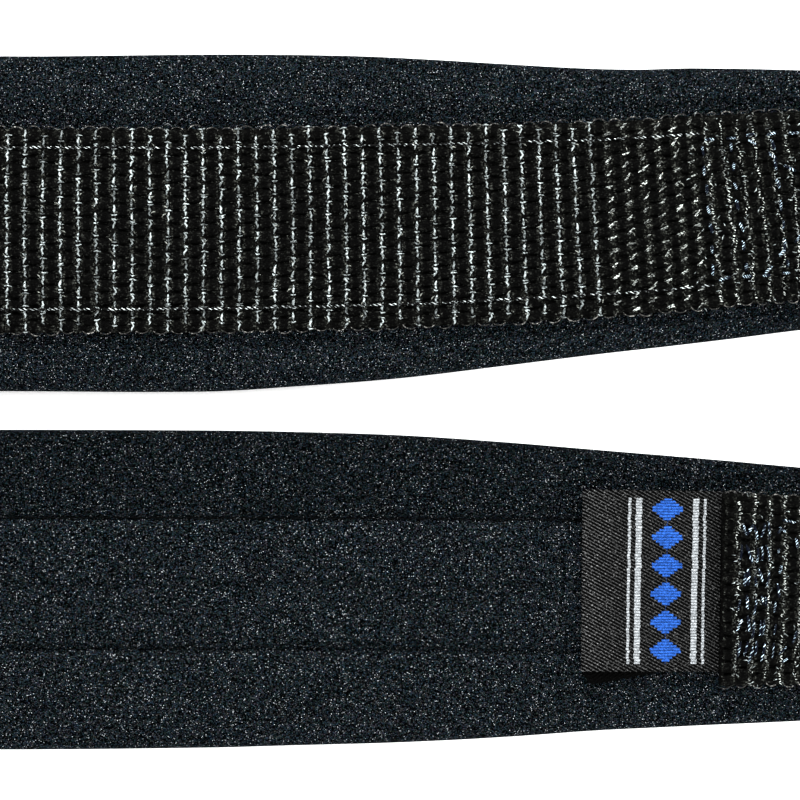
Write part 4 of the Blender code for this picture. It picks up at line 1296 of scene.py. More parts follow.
for name, shapes, finish, seed, start, stop, height, jitter, spin in ZONES:
    changes = {"Height": height, "Jitter": jitter * MM, "Spin": spin}
    weave_zone(name, shapes, finish, seed, start, stop, **changes)

# %% [markdown]
# The cross yarn turns back at each edge of the band. Every column ends in such a small loop at both
# edges, so the tree sets them out as two rows far apart and turns the lower row to face out. Chance
# moves and turns each loop a little.

# %% Edge loops
LOOP_RADIUS = 0.12
LOOP_TURN = 1.2
LOOP_POINTS = tuple(
    (1.25 * math.sin(angle), 0.85 * math.cos(angle) - 0.5, 0.12 * math.cos(angle))
    for angle in np.linspace(-LOOP_TURN, LOOP_TURN, 7)
)
shapes = [strand_mesh("loop", ((LOOP_RADIUS, LOOP_POINTS),))]
values = weave_values(
    COLUMNS, middle, EDGE_FILAMENT, 33, Rows=2, Row_Pitch=WEBBING_WIDTH - 1.0 * MM,
    Height=TOP - 0.5 * MM, Stagger=0.0, Face_Out=1.0, Jitter=0.25 * MM, Spin=0.3,
)
loops = grow("webbing_edge_loops", WEAVE, shapes, values)
show(laid("webbing_edge_loops", loops, woven, EDGE_FILAMENT))

# %% [markdown]
# ## Sewing with Geometry Nodes
# A seam is drawn as loose edges, one edge to a stitch. The second tree puts a piece of twisted thread
# on each edge: it takes the edge's middle as its place, turns to the edge's direction and stretches
# to its length. Running stitches, box stitches and rows of tacking are only different lists of edges.


# %% A tree for stitches
STITCH_SIZES = (0.92, 1.0, 1.08)
THREAD_SINK = 0.7
THREAD_TIP = 0.55
THREAD_OVAL = 0.22


def stitching_tree():
    board, sockets = new_tree(
        "stitches", ("Shapes", "Collection"), ("Seed", "Int"), ("Finish", "Material")
    )
    first = board.node("GeometryNodeInputMeshEdgeVertices", output=2)
    last = board.node("GeometryNodeInputMeshEdgeVertices", output=3)
    way = board.vectors("SUBTRACT", last, first)
    settings = {"data_type": "FLOAT_VECTOR", "domain": "EDGE"}
    kept = {"Geometry": sockets["Geometry"], "Name": "way", "Value": way}
    marked = board.node("GeometryNodeStoreNamedAttribute", settings, kept)
    points = board.node("GeometryNodeMeshToPoints", {"mode": "EDGES"}, {"Mesh": marked})
    settings = {"data_type": "FLOAT_VECTOR"}
    way = board.node("GeometryNodeInputNamedAttribute", settings, {"Name": "way"})
    settings = {"axis": "X", "pivot_axis": "Z"}
    spin = board.node("FunctionNodeAlignRotationToVector", settings, {"Vector": way})
    length = board.node("ShaderNodeVectorMath", {"operation": "LENGTH"}, {0: way}, 1)
    dress_points(board, points, spin, place_vector(board, length, 1.0, 1.0), sockets)
    return board.tree


def stitch_shape(name, radius, arch, turns, segments=10, sides=6):
    """One stitch of unit length: a thread that rises from the cloth, lies over it and dives again."""
    share = np.linspace(-0.5, 0.5, segments + 1)
    height = arch * (1.0 - np.abs(share * 2.0) ** 3) - radius * THREAD_SINK
    thick = radius * lerp(THREAD_TIP, 1.0, 1.0 - np.abs(share * 2.0) ** 6)
    angle = np.arange(sides) / sides * 2 * math.pi
    oval = 1.0 + THREAD_OVAL * np.cos(2 * (angle[None, :] - share[:, None] * turns * math.pi))
    y = thick[:, None] * np.cos(angle) * oval
    z = thick[:, None] * np.sin(angle) * oval + height[:, None]
    grid = np.stack([share[:, None] + 0 * y, y, z], axis=-1)
    around = np.arange(sides + 1) / sides * MM
    along = share[:, None] * turns * THREAD_TWIST_MM * MM
    flat = np.stack([along + 0 * around, around + 0 * along], axis=-1)
    return tube_mesh(name, grid, flat)


def sew(name, edges, lay_on, finish, radius=0.27 * MM, arch=0.34 * MM, turns=4, seed=1):
    """Shows a piece of stitches, one on each edge ((x, y, z), (x, y, z)) of a flat space."""
    seeds = bpy.data.meshes.new(name + "_edges")
    points = [point for edge in edges for point in edge]
    seeds.from_pydata(points, [(i, i + 1) for i in range(0, len(points), 2)], [])
    shapes = [
        stitch_shape(f"{name}_{i}", radius * size, arch * size, turns)
        for i, size in enumerate(STITCH_SIZES)
    ]
    mesh = grow(name, STITCHING, shapes, {"Seed": seed, "Finish": finish}, seeds)
    show(laid(name, mesh, lay_on, finish, flat_from_place=False))


def stitches_along(points, length, gap):
    """Edges of nearly the given length along a line of points, with gaps between the stitches."""
    edges = []
    for start, stop in zip(points, points[1:]):
        start, stop = np.array(start), np.array(stop)
        count = max(1, round(float(np.linalg.norm(stop - start)) / length))
        for i in range(count):
            part = (gap / length / 2 + i) / count, (i + 1 - gap / length / 2) / count
            edges.append((tuple(lerp(start, stop, part[0])), tuple(lerp(start, stop, part[1]))))
    return edges


def uneven(edges, amount, seed):
    """The same stitches, each end moved a little by chance, as thick ribs push them aside."""
    chance = np.random.default_rng(seed)
    ends = np.array(edges)
    ends[:, :, :2] += chance.uniform(-amount, amount, (len(edges), 2, 2))
    return ends.tolist()


STITCHING = stitching_tree()
print("the stitching tree has", len(STITCHING.nodes), "nodes")

# %% [markdown]
# Two running seams hold the webbing to the pad, near its edges. Where a ring is held, the webbing's
# end is sewn down through the pad with a box, its diagonals and two bars of bluish thread. Its
# stitches are long and lie a little uneven.

# %% Seams on the webbing
SEAM_TOP = 15.28 * MM
SEAM_BOTTOM = -14.55 * MM
THREAD_HEIGHT = TOP - 0.1 * MM
BOX_START = 3.0 * MM
BOX_END = 40.3 * MM
BOX_STITCH = 3.9 * MM
BOX_MARGIN = 0.93
BOX_BARS = (0.65, 0.855)
DIAGONALS_TO = 0.78


def box_seam(l_near, l_far, low, high, bars=(), cross_to=1.0, height=None, pitch=BOX_STITCH):
    """A box with bars across it, and diagonals over its near part, as stitches.

    The places of the bars and the diagonals' end are shares, counted from the near side."""
    corners = [(l_near, low), (l_far, low), (l_far, high), (l_near, high), (l_near, low)]
    cross = lerp(l_near, l_far, cross_to)
    lines = [corners, [(l_near, low), (cross, high)], [(l_near, high), (cross, low)]]
    lines += [[(lerp(l_near, l_far, bar), low), (lerp(l_near, l_far, bar), high)] for bar in bars]
    edges = []
    for line in lines:
        edges += stitches_along([(l, u, height or THREAD_HEIGHT) for l, u in line], pitch, pitch / 2)
    return edges


def running_seam(u):
    ends = [(RUN_ZERO + BOX_END, u, THREAD_HEIGHT), (RUN_END - BOX_END, u, THREAD_HEIGHT)]
    return stitches_along(ends, STITCH_LENGTH, 0.35 * MM)


seams = running_seam(SEAM_TOP) + running_seam(SEAM_BOTTOM)
sew("webbing_seams", seams, wavy, THREAD, radius=0.21 * MM, turns=3, seed=4)
box = {
    "low": SEAM_BOTTOM * BOX_MARGIN, "high": SEAM_TOP * BOX_MARGIN,
    "bars": BOX_BARS, "cross_to": DIAGONALS_TO,
}
boxes = box_seam(RUN_ZERO + BOX_START, RUN_ZERO + BOX_END, **box)
boxes += box_seam(RUN_END - BOX_START, RUN_END - BOX_END, **box)
sew("box_stitches", uneven(boxes, 0.3 * MM, 71), wavy, BLUE_THREAD, seed=8)

# %% [markdown]
# On the cut ends the same thread runs back and forth in five close rows across the band, a few
# millimetres in from the cut, with the box behind them. The thread dips under a rib about every five
# millimetres, and the ribs push it aside, so the rows show as clusters of short slanted glints.

# %% Rows of tacking on the cut ends
TACK_START = 3.2 * MM
TACK_ROWS = 5
TACK_PITCH = 1.15 * MM
TACK_STITCH = 4.9 * MM
TACK_GAP = 2.0 * MM
TACK_HALF = 14.5 * MM
TACK_SLANT = 0.5 * MM
TACK_SHIFT = 0.45 * MM
TAIL_BOX_END = 31.0 * MM
TAIL_BOX_HALF = 14.0 * MM


def tack_rows(cut, inward):
    """Rows of stitches across the band next to a cut end, each row shifted a little sideways."""
    edges = []
    for i in range(TACK_ROWS):
        l = cut + inward * (TACK_START + i * TACK_PITCH)
        shift = TACK_SHIFT * math.sin(i * 2.3)
        from_here = l, shift - TACK_HALF, THREAD_HEIGHT
        to_there = l + inward * TACK_SLANT, shift + TACK_HALF, THREAD_HEIGHT
        edges += stitches_along([from_here, to_there], TACK_STITCH, TACK_GAP)
    return edges


tails = []
for cut, inward in ((0.0, 1.0), (PATH_END, -1.0)):
    tails += tack_rows(cut, inward)
    behind = cut + inward * (TACK_START + TACK_ROWS * TACK_PITCH + 1.5 * MM)
    tails += box_seam(cut + inward * TAIL_BOX_END, behind, -TAIL_BOX_HALF, TAIL_BOX_HALF)
sew("cut_end_stitches", uneven(tails, 0.65 * MM, 72), wavy, BLUE_THREAD, radius=0.22 * MM, seed=12)

# %% [markdown]
# The two sewn channels of the inner face hold a thread of their own, sunk in the foam. It is black
# and hardly shows, but it closes the channel's bottom.

# %% Seams in the pad's channels
def inside_pad(s, u, h):
    """Pad space with h upwards from the bottom of the sewn channels on the inner face."""
    return lay(s, u, -pad_depth(s) + SEAM_DEPTH - h)


CHANNEL_END = 4 * MM
channels = []
for u in (SEAM_SPACING / 2, -SEAM_SPACING / 2):
    ends = [(CHANNEL_END, u, 0.0), (PAD_LENGTH - CHANNEL_END, u, 0.0)]
    channels += stitches_along(ends, STITCH_LENGTH, 0.5 * MM)
sew(
    "channel_seams", channels, inside_pad, SEAM_THREAD,
    radius=0.15 * MM, arch=0.2 * MM, seed=15,
)

# %% [markdown]
# ## The label
# A small twill ribbon, folded in two, lies on the inner face with its cut ends under the webbing.
# Only the fold and the two thin layers make its shape, so it is a ribbon drawn round a hairpin. Its
# lower corner stands up a little and its under layer has slipped out there; that strip of under layer
# is coloured almost black as a painted shadow under the raised corner. A crease runs in from the
# webbing.

# %% The label's shape
LABEL_CLOTH = 0.42 * MM
LABEL_FOLD = PAD_LENGTH - TAIL_LENGTH - LABEL_LENGTH
LABEL_REACH = LABEL_LENGTH + LABEL_TUCK
LABEL_SLIP = 2.8 * MM
LABEL_SLIP_REACH = 15.0 * MM
LABEL_STEPS = 40
FOLD_STEPS = 9
LABEL_COLUMNS = 43
LABEL_LIFT_START = 0.35
LABEL_LIFT_FADE = 1.8
LABEL_WAVER = 0.12 * MM
CREASE_DEPTH = 0.4 * MM
CREASE_WIDTH = 0.4 * MM
CREASE_PLACE = -0.6 * MM
CREASE_FROM = 18 * MM


def label_path():
    """The middle layer as rows of (p, lift, length), p from the fold and length 0 at the fold."""
    radius = (LABEL_THICKNESS - LABEL_CLOTH) / 2
    low, high = LABEL_CLOTH / 2, LABEL_THICKNESS - LABEL_CLOTH / 2
    p = np.linspace(LABEL_REACH, radius, LABEL_STEPS)
    angle = np.linspace(0.0, math.pi, FOLD_STEPS)[1:-1]
    fold_p, fold_lift = radius - radius * np.sin(angle), lerp(low, high, (1.0 - np.cos(angle)) / 2)
    place = np.concatenate([p, fold_p, p[::-1]])
    lift = np.concatenate([np.full(LABEL_STEPS, low), fold_lift, np.full(LABEL_STEPS, high)])
    length = np.concatenate([[0.0], np.cumsum(np.hypot(np.diff(place), np.diff(lift)))])
    return place, lift, length - length[-1] / 2


def on_pad_inside(p, q, lift):
    """Label space: p from the fold, q across (up in the picture) and lift from the foam."""
    s = LABEL_FOLD + p
    bulge = crown(s) * np.maximum(0.0, 1.0 - (q / (SEAM_SPACING / 2)) ** 2)
    share, down = p / LABEL_REACH, 0.5 - (q - LABEL_OFFSET) / LABEL_WIDTH
    low_side = smooth((down - LABEL_LIFT_START) / (1.0 - LABEL_LIFT_START))
    raised = LABEL_LIFT * (1.0 - smooth(share * LABEL_LIFT_FADE)) * low_side
    crease = CREASE_DEPTH * np.exp(-(((q - CREASE_PLACE) / CREASE_WIDTH) ** 2))
    crease = crease * smooth((p - CREASE_FROM) / (5 * MM)) * smooth(lift / LABEL_THICKNESS * 1.4)
    waver = LABEL_WAVER * np.sin(p / (4.7 * MM) + q / (6.1 * MM)) * (1.0 - smooth(share * 1.1))
    foam = pad_depth(s) + bulge + crown(s) * 0.2
    return lay(s, q, -(foam + GAP + lift + raised + np.maximum(waver, 0.0) - crease))


def make_label_mesh():
    place, lift, length = label_path()
    step_p, step_lift = np.gradient(place), np.gradient(lift)
    size = np.hypot(step_p, step_lift)
    q = LABEL_OFFSET + np.linspace(-0.5, 0.5, LABEL_COLUMNS) * LABEL_WIDTH
    under = smooth(-length / (2.0 * MM))[:, None]
    # the under layer slips out below the raised corner; its colour is painted shadow
    slipped = LABEL_SLIP * under * np.maximum(0.0, 1.0 - place / LABEL_SLIP_REACH)[:, None]
    sides = []
    for sign in (1.0, -1.0):
        at_p = place + sign * step_lift / size * LABEL_CLOTH / 2
        at_lift = lift - sign * step_p / size * LABEL_CLOTH / 2
        ordered = q if sign > 0 else q[::-1]
        low_part = np.clip(0.5 - (ordered - LABEL_OFFSET) / LABEL_WIDTH, 0.0, 1.0) ** 3
        at_p, at_lift = (column[:, None] + 0 * ordered for column in (at_p, at_lift))
        sides.append(on_pad_inside(at_p, ordered - slipped * low_part, at_lift))
    across = np.concatenate([q, q[::-1], q[:1]])
    flat = np.stack([length[:, None] + 0 * across, across + 0 * length[:, None]], axis=-1)
    return tube_mesh("label_ribbon", np.concatenate(sides, axis=1), flat)


LABEL_MESH = make_label_mesh()
print("the label has", len(LABEL_MESH.polygons), "faces")

# %% [markdown]
# The label's cloth is black twill: slanting ribs, each broken into dashes of their own brightness,
# with finer flecks. The trim on its upper layer is a plain woven border, white lines and a row of
# blue lozenges, drawn pick by pick so that the edges step as woven ones do. All sizes in the formula
# are millimetres. A line is given by its distance from the border's middle and half its width.


# %% The label's cloth
TWILL_SLOPE = 0.52
TWILL_RIB = 0.64
TWILL_DASH = 0.62
TWILL_COLOUR = (1.0, 1.02, 1.02)
BORDER_PICK = 0.52
BORDER_MIDDLE = 15.6
BORDER_HALF = 15.2
BLUE = (0.025, 0.11, 0.48)
WHITE = (0.42, 0.45, 0.47)
LOZENGE_HALF = 2.6
LOZENGE_REACH = 3.6
WHITE_LINES = ((5.3, 0.55), (7.0, 0.25))


def white_noise(board, dimensions, inputs):
    return board.node("ShaderNodeTexWhiteNoise", {"noise_dimensions": dimensions}, inputs)


def label_weave():
    """Black twill with a woven border of white lines and blue lozenges on the upper layer."""
    made, board, shader = new_material("label_weave", 0.7, Specular_IOR_Level=0.02)
    along, across = flat_place(board)
    slope = (across + along * TWILL_SLOPE) / TWILL_RIB
    rib_number = board.maths("FLOOR", slope)
    rib = board.maths("PINGPONG", slope, 0.5) * 2.0
    dash = along / TWILL_DASH + rib_number * 0.37
    dash_end = board.maths("PINGPONG", dash, 0.5) * 2.0
    dash_place = place_vector(board, rib_number, board.maths("FLOOR", dash))
    random = white_noise(board, "2D", {1: dash_place})
    fleck = board.channel(cells(board, place_vector(board, along * 4.6, across * 5.8)))
    lit = board.ramp(rib, 0.62, 0.96) * (board.ramp(dash_end, 0.1, 0.5) * 0.8 + 0.2)
    twill = lit * (random**5.0 * 0.2 + fleck**6.0 * 0.2 + 0.003) + fleck**24.0 * 0.12 + 0.0001
    # painted shadow: the under layer's twill is darkened almost to black
    under_layer_painted_shadow = board.ramp(along, -0.4, 0.2) * 0.99 + 0.01
    twill = twill * under_layer_painted_shadow * (0.8 - board.ramp(along, 1.0, 9.0) * 0.3)
    black = board.scaled(TWILL_COLOUR, twill)

    pick = board.ramp(board.maths("PINGPONG", across / BORDER_PICK, 0.5), 0.02, 0.3) * 0.7 + 0.3
    pick_place = board.maths("FLOOR", across / BORDER_PICK) * BORDER_PICK
    lozenge_across = board.maths("PINGPONG", pick_place - LABEL_OFFSET / MM, LOZENGE_HALF)
    ragged = white_noise(board, "1D", {"W": pick_place})
    from_middle = board.maths("ABSOLUTE", along - BORDER_MIDDLE + (ragged - 0.5) * 0.22)
    lozenge = board.ramp(lozenge_across * 1.35 - from_middle, 0.25, 0.45)
    blue_mask = lozenge * (from_middle < LOZENGE_REACH)
    wide_line, thin_line = (
        board.maths("ABSOLUTE", from_middle - place) < half for place, half in WHITE_LINES
    )
    flecked = (fleck**2.0 * 0.9 + 0.5) * pick
    within = board.maths("ABSOLUTE", across - LABEL_OFFSET / MM) < BORDER_HALF
    colour = board.mix(blue_mask * within, black, board.scaled(BLUE, flecked))
    white_share = board.maths("MINIMUM", wide_line + thin_line, 1.0) * within
    colour = board.mix(white_share, colour, board.scaled(WHITE, flecked))
    wire_up(board, shader, Base_Color=colour, Normal=bump(board, rib + pick * 0.5, 0.00012))
    return made


label = new_object("woven_label", LABEL_MESH, label_weave())
show(label)
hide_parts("label")

# %% [markdown]
# ## The lower strap
# A narrow woven strap goes from one ring round the hook's bar to the other ring. Each end is turned
# round its ring and sewn. It has a path of its own: places (x, y, z) and a slope sideways.

# %% The lower strap's path
STRAP_WIDTH = 20.0 * MM
STRAP_THICKNESS = 1.6 * MM
STRAP_REACH = 198.0 * MM
STRAP_TAIL = 26.0 * MM
STRAP_EASE = 0.35
STRAP_DROP = 14.0 * MM
HOOK_THICKNESS = 5.0 * MM
HOOK_BAR = 4.0 * MM
HOOK_EDGE = 1.0 * MM
STRAP_HALF = STRAP_THICKNESS / 2
STRAP_WRAP = RING_BAR / 2 + GAP + STRAP_HALF
HOOK_CORNER = math.hypot(HOOK_BAR / 2 - HOOK_EDGE, HOOK_THICKNESS / 2 - HOOK_EDGE) + HOOK_EDGE
HOOK_WRAP = HOOK_CORNER + GAP + STRAP_HALF
HOOK_HEIGHT = HOOK_WRAP + STRAP_HALF
RING_STEPS = 18
BEND_STEPS = 22
SHORT_STEPS = 40
LONG_STEPS = 260


def far_bar(node):
    """The middle of a ring's far bar, from the ring's solid."""
    low, high = (np.array(corner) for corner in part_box(node))
    return np.array([high[0] - RING_BAR / 2, (low[1] + high[1]) / 2, (low[2] + high[2]) / 2])


BAR_A, BAR_B = far_bar("ring_a"), far_bar("ring_b")
HOOK_X = max(BAR_A[0], BAR_B[0]) + STRAP_REACH
HOOK_Y = (BAR_A[1] + BAR_B[1]) / 2


def run_slope(bar):
    """How far a run goes sideways for each metre along x, once it has eased out of its ring."""
    reach = (HOOK_X - bar[0]) * (1.0 - STRAP_EASE / 2) + math.pi * HOOK_WRAP / 2
    return abs(bar[1] - HOOK_Y) / reach


SLOPE_A, SLOPE_B = run_slope(BAR_A), run_slope(BAR_B)
STACK = STRAP_THICKNESS + GAP + STRAP_HALF
CROSSING = STRAP_WIDTH / (SLOPE_A + SLOPE_B) + STRAP_DROP


def run_place(bar, slope, side, x):
    """A run's centre line in plan: straight out of the ring, then slanting to the hook."""
    span = HOOK_X - bar[0]
    along = np.clip((x - bar[0]) / span, 0.0, 1.0)
    easing = along < STRAP_EASE
    eased, straight = along**2 / (2 * STRAP_EASE), along - STRAP_EASE / 2
    y = slope * span * np.where(easing, eased, straight)
    return bar[1] - side * y, np.where(easing, slope * along / STRAP_EASE, slope)


def upper_layer(bar, x, sewn_end):
    """The height of the layer that lies over another one near the ring and near the hook."""
    out, back = x - bar[0], HOOK_X - x
    height = lerp(bar[2] + STRAP_WRAP, STACK, smooth(out / STRAP_DROP))
    if sewn_end:
        return height
    height = lerp(height, STRAP_HALF, smooth((out - STRAP_TAIL) / STRAP_DROP))
    height = lerp(height, STACK, smooth((CROSSING + STRAP_DROP - back) / STRAP_DROP))
    return lerp(height, HOOK_HEIGHT + HOOK_WRAP, smooth(1.0 - back / STRAP_DROP))


def lower_layer(bar, x):
    """The height of the layer that comes down from a ring and lies on the table."""
    return lerp(bar[2] - STRAP_WRAP, STRAP_HALF, smooth((x - bar[0]) / STRAP_DROP))


def strap_line():
    """The narrow strap's middle layer, from its sewn end on ring A to its sewn end on ring B."""
    def stretch(x, y, z, slope):
        return np.stack([x, y + 0 * x, z + 0 * x, slope + 0 * x], axis=1)

    def round_ring(bar):
        angle = np.linspace(-math.pi / 2, -math.pi * 1.5, RING_STEPS)[1:-1]
        x, z = bar[0] + STRAP_WRAP * np.cos(angle), bar[2] + STRAP_WRAP * np.sin(angle)
        return stretch(x, bar[1], z, 0.0)

    def run(bar, slope, side, x, heights):
        y, turned = run_place(bar, slope, side, x)
        return stretch(x, y, heights, turned)

    short_a, short_b = (
        np.linspace(bar[0], bar[0] + STRAP_TAIL, SHORT_STEPS) for bar in (BAR_A, BAR_B)
    )
    long_a, long_b = (np.linspace(bar[0], HOOK_X, LONG_STEPS) for bar in (BAR_A, BAR_B))
    turn = (SLOPE_A + SLOPE_B) / 2
    angle = np.linspace(math.pi / 2, -math.pi / 2, BEND_STEPS)[1:-1]
    bend = stretch(
        HOOK_X + HOOK_WRAP * np.cos(angle), HOOK_Y + HOOK_WRAP * angle * turn,
        HOOK_HEIGHT + HOOK_WRAP * np.sin(angle), turn,
    )
    return np.concatenate([
        run(BAR_A, SLOPE_A, 1, short_a[::-1], lower_layer(BAR_A, short_a[::-1])),
        round_ring(BAR_A),
        run(BAR_A, SLOPE_A, 1, long_a, upper_layer(BAR_A, long_a, False)),
        bend,
        run(BAR_B, SLOPE_B, -1, long_b[::-1], lower_layer(BAR_B, long_b[::-1])),
        round_ring(BAR_B),
        run(BAR_B, SLOPE_B, -1, short_b, upper_layer(BAR_B, short_b, True)),
    ])


STRAP_LINE = strap_line()
steps = np.linalg.norm(np.diff(STRAP_LINE[:, :3], axis=0), axis=1)
STRAP_L = np.concatenate([[0.0], np.cumsum(steps)])
STRAP_END = STRAP_L[-1]


def on_strap(l, u, h):
    """Puts points of the narrow strap's space into the frame."""
    x, y, z, slope = (np.interp(l, STRAP_L, column) for column in STRAP_LINE.T)
    along_x, along_z = (change(l, STRAP_L, STRAP_LINE[:, column]) for column in (0, 2))
    length = np.hypot(along_x, along_z)
    x, y, z = x + along_z / length * h, y + u * np.sqrt(1.0 + slope**2), z - along_x / length * h
    return on_table(x, y, z)


print(f"the narrow strap is {STRAP_END / MM:.0f} mm long")

# %% [markdown]
# It is woven by the same tree as the broad webbing, finer, on both of its faces.

# %% The lower strap's cloth
FINE_COLUMN = 2.0 * MM
FINE_ROW = 1.5 * MM
FINE_HEIGHT = 0.3 * MM
FINE_ROWS = 13
FINE_LEVEL = STRAP_HALF - FINE_HEIGHT


def small_float(name, turned_over):
    """A small closed cushion with a three by three top."""
    def place(a, b):
        dome = 0.0 if abs(a) == 1.0 or abs(b) == 1.0 else FINE_HEIGHT
        y = b * FINE_ROW * 0.48 * (1.0 - 0.2 * a * a)
        return a * FINE_COLUMN * 0.45, y, -dome if turned_over else dome

    return cushion(name, (-1.0, -0.5, 0.5, 1.0), (-1.0, -0.4, 0.4, 1.0), place)


NARROW_YARN = yarn("narrow_yarn", FINE_COLUMN * 0.2, FINE_COLUMN)
rows = band_rows(STRAP_END, STRAP_WIDTH / 2, -FINE_LEVEL, FINE_LEVEL, 0.3 * MM, 2.0 * MM)
strap_band = band("lower_strap_band", rows, on_strap, NARROW_YARN)
show(strap_band)
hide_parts("lower_strap")
fine_columns = int(STRAP_END / FINE_COLUMN - 1)
for name, turned_over in (("upper", False), ("under", True)):
    values = weave_values(
        fine_columns, FINE_COLUMN * 0.7, NARROW_YARN, 40 + turned_over, Rows=FINE_ROWS,
        Column_Pitch=FINE_COLUMN, Row_Pitch=FINE_ROW, Height=-FINE_LEVEL if turned_over else FINE_LEVEL,
        Jitter=0.03 * MM, Spin=0.03,
    )
    mesh = grow(f"lower_strap_{name}", WEAVE, [small_float("small_float", turned_over)], values)
    show(laid(f"lower_strap_{name}", mesh, on_strap, NARROW_YARN))

# %% [markdown]
# Each end is sewn down on the run above or below it with a small box of the bluish thread.

# %% Stitches on the lower strap
def strap_top(l, u, h):
    """Narrow strap space on the side that faces up where the strap is sewn."""
    return on_strap(l, u, -h)


small_box = {"low": -7 * MM, "high": 7 * MM, "height": STRAP_HALF - 0.05 * MM, "pitch": 2.8 * MM}
over_a = STRAP_TAIL + math.pi * STRAP_WRAP
boxes = []
for start in (over_a, STRAP_END - STRAP_TAIL):
    boxes += box_seam(start + 4 * MM, start + STRAP_TAIL - 6 * MM, **small_box)
sew(
    "lower_strap_stitches", boxes, strap_top, BLUE_THREAD,
    radius=0.18 * MM, arch=0.28 * MM, seed=52,
)

# %% [markdown]
# ## Rings and hook
# Neither shows in the picture, so both are the plain moulded pieces that such a strap has. A ring is
# a rounded loop of round bar, and the hook is a flat moulded outline with softened edges. Both are
# curves with a bevel, made meshes at once.

# %% Moulded plastic
def plastic():
    made, board, shader = new_material("moulded_plastic", 0.38, Specular_IOR_Level=0.25)
    grain = noise(board, board.object_place(2600.0), 2.0)
    cloudy = noise(board, board.object_place(90.0), 3.0)
    colour = board.scaled((1.0, 1.0, 1.05), cloudy * 0.004 + grain * 0.002 + 0.003)
    normal = bump(board, grain, 0.00004)
    wire_up(board, shader, Base_Color=colour, Roughness=cloudy * 0.25 + 0.3, Normal=normal)
    return made


PLASTIC = plastic()


def curve_piece(name, curve, places, node):
    """Shows a bevelled curve as a mesh, turned and moved into place, that stands for a solid."""
    host = bpy.data.objects.new(name + "_curve", curve)
    host.location, host.rotation_euler = places
    bpy.context.scene.collection.objects.link(host)
    bpy.context.view_layer.update()
    graph = bpy.context.evaluated_depsgraph_get()
    mesh = bpy.data.meshes.new_from_object(host.evaluated_get(graph))
    mesh.transform(host.matrix_world)
    bpy.data.objects.remove(host)
    bm = bmesh.new()
    bm.from_mesh(mesh)
    bmesh.ops.remove_doubles(bm, verts=bm.verts, dist=1e-6)
    bmesh.ops.recalc_face_normals(bm, faces=bm.faces)
    bm.to_mesh(mesh)
    bm.free()
    mesh.name = name
    mesh.shade_smooth()
    mesh.set_sharp_from_angle(angle=math.radians(50.0))
    face_outwards(mesh)
    obj = new_object(name, mesh, PLASTIC)
    show(obj)
    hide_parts(node)


def arc(centre, radius, start, stop, steps):
    """Points on an arc from the start angle to the stop angle, in degrees."""
    angles = np.radians(np.linspace(start, stop, steps + 1))
    return [(centre[0] + radius * math.cos(a), centre[1] + radius * math.sin(a)) for a in angles]


def closed_spline(curve, points):
    spline = curve.splines.new("POLY")
    spline.points.add(len(points) - 1)
    for point, place in zip(spline.points, points):
        point.co = (*place, 0.0, 1.0)
    spline.use_cyclic_u = True


# %% Rings
RING_CORNER = 4.5 * MM
for node in ("ring_a", "ring_b"):
    low, high = (Vector(corner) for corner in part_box(node))
    centre = (low + high) / 2
    reach, half = (high.x - low.x - RING_BAR) / 2, (high.y - low.y - RING_BAR) / 2
    curve = bpy.data.curves.new(node, "CURVE")
    curve.dimensions = "3D"
    corners = ((1, 1, 0), (-1, 1, 90), (-1, -1, 180), (1, -1, 270))
    points = []
    for side_x, side_y, start in corners:
        spot = (side_x * (reach - RING_CORNER), side_y * (half - RING_CORNER))
        points += arc(spot, RING_CORNER, start, start + 90, 10)
    closed_spline(curve, points)
    curve.bevel_depth = RING_BAR / 2
    curve.bevel_resolution = 8
    curve_piece(node.replace("ring", "moulded_ring"), curve, (centre, (0.0, 0.0, 0.0)), node)

# %% [markdown]
# The hook's outline goes round the slotted frame, down the neck, round the throat and back. The
# throat has a short flat where the instrument's ring sits.

# %% Hook
HOOK_WALL = 4.0 * MM
HOOK_SLOT_PLAY = 2.6 * MM
HOOK_SLOT_CLEARANCE = 1.5 * MM
HOOK_NECK_WIDTH = 12.0 * MM
HOOK_NECK_LENGTH = 9.0 * MM
THROAT = 8.5 * MM
HOOK_ARM = 6.5 * MM
HOOK_NOSE = 2.0 * MM
HOOK_SEAT_WIDTH = 7.0 * MM
TIP_ANGLE = 72.0
NOSE_ANGLE = 150.0


def polar(centre_x, radius, degrees):
    angle = math.radians(degrees)
    return centre_x + radius * math.cos(angle), radius * math.sin(angle)


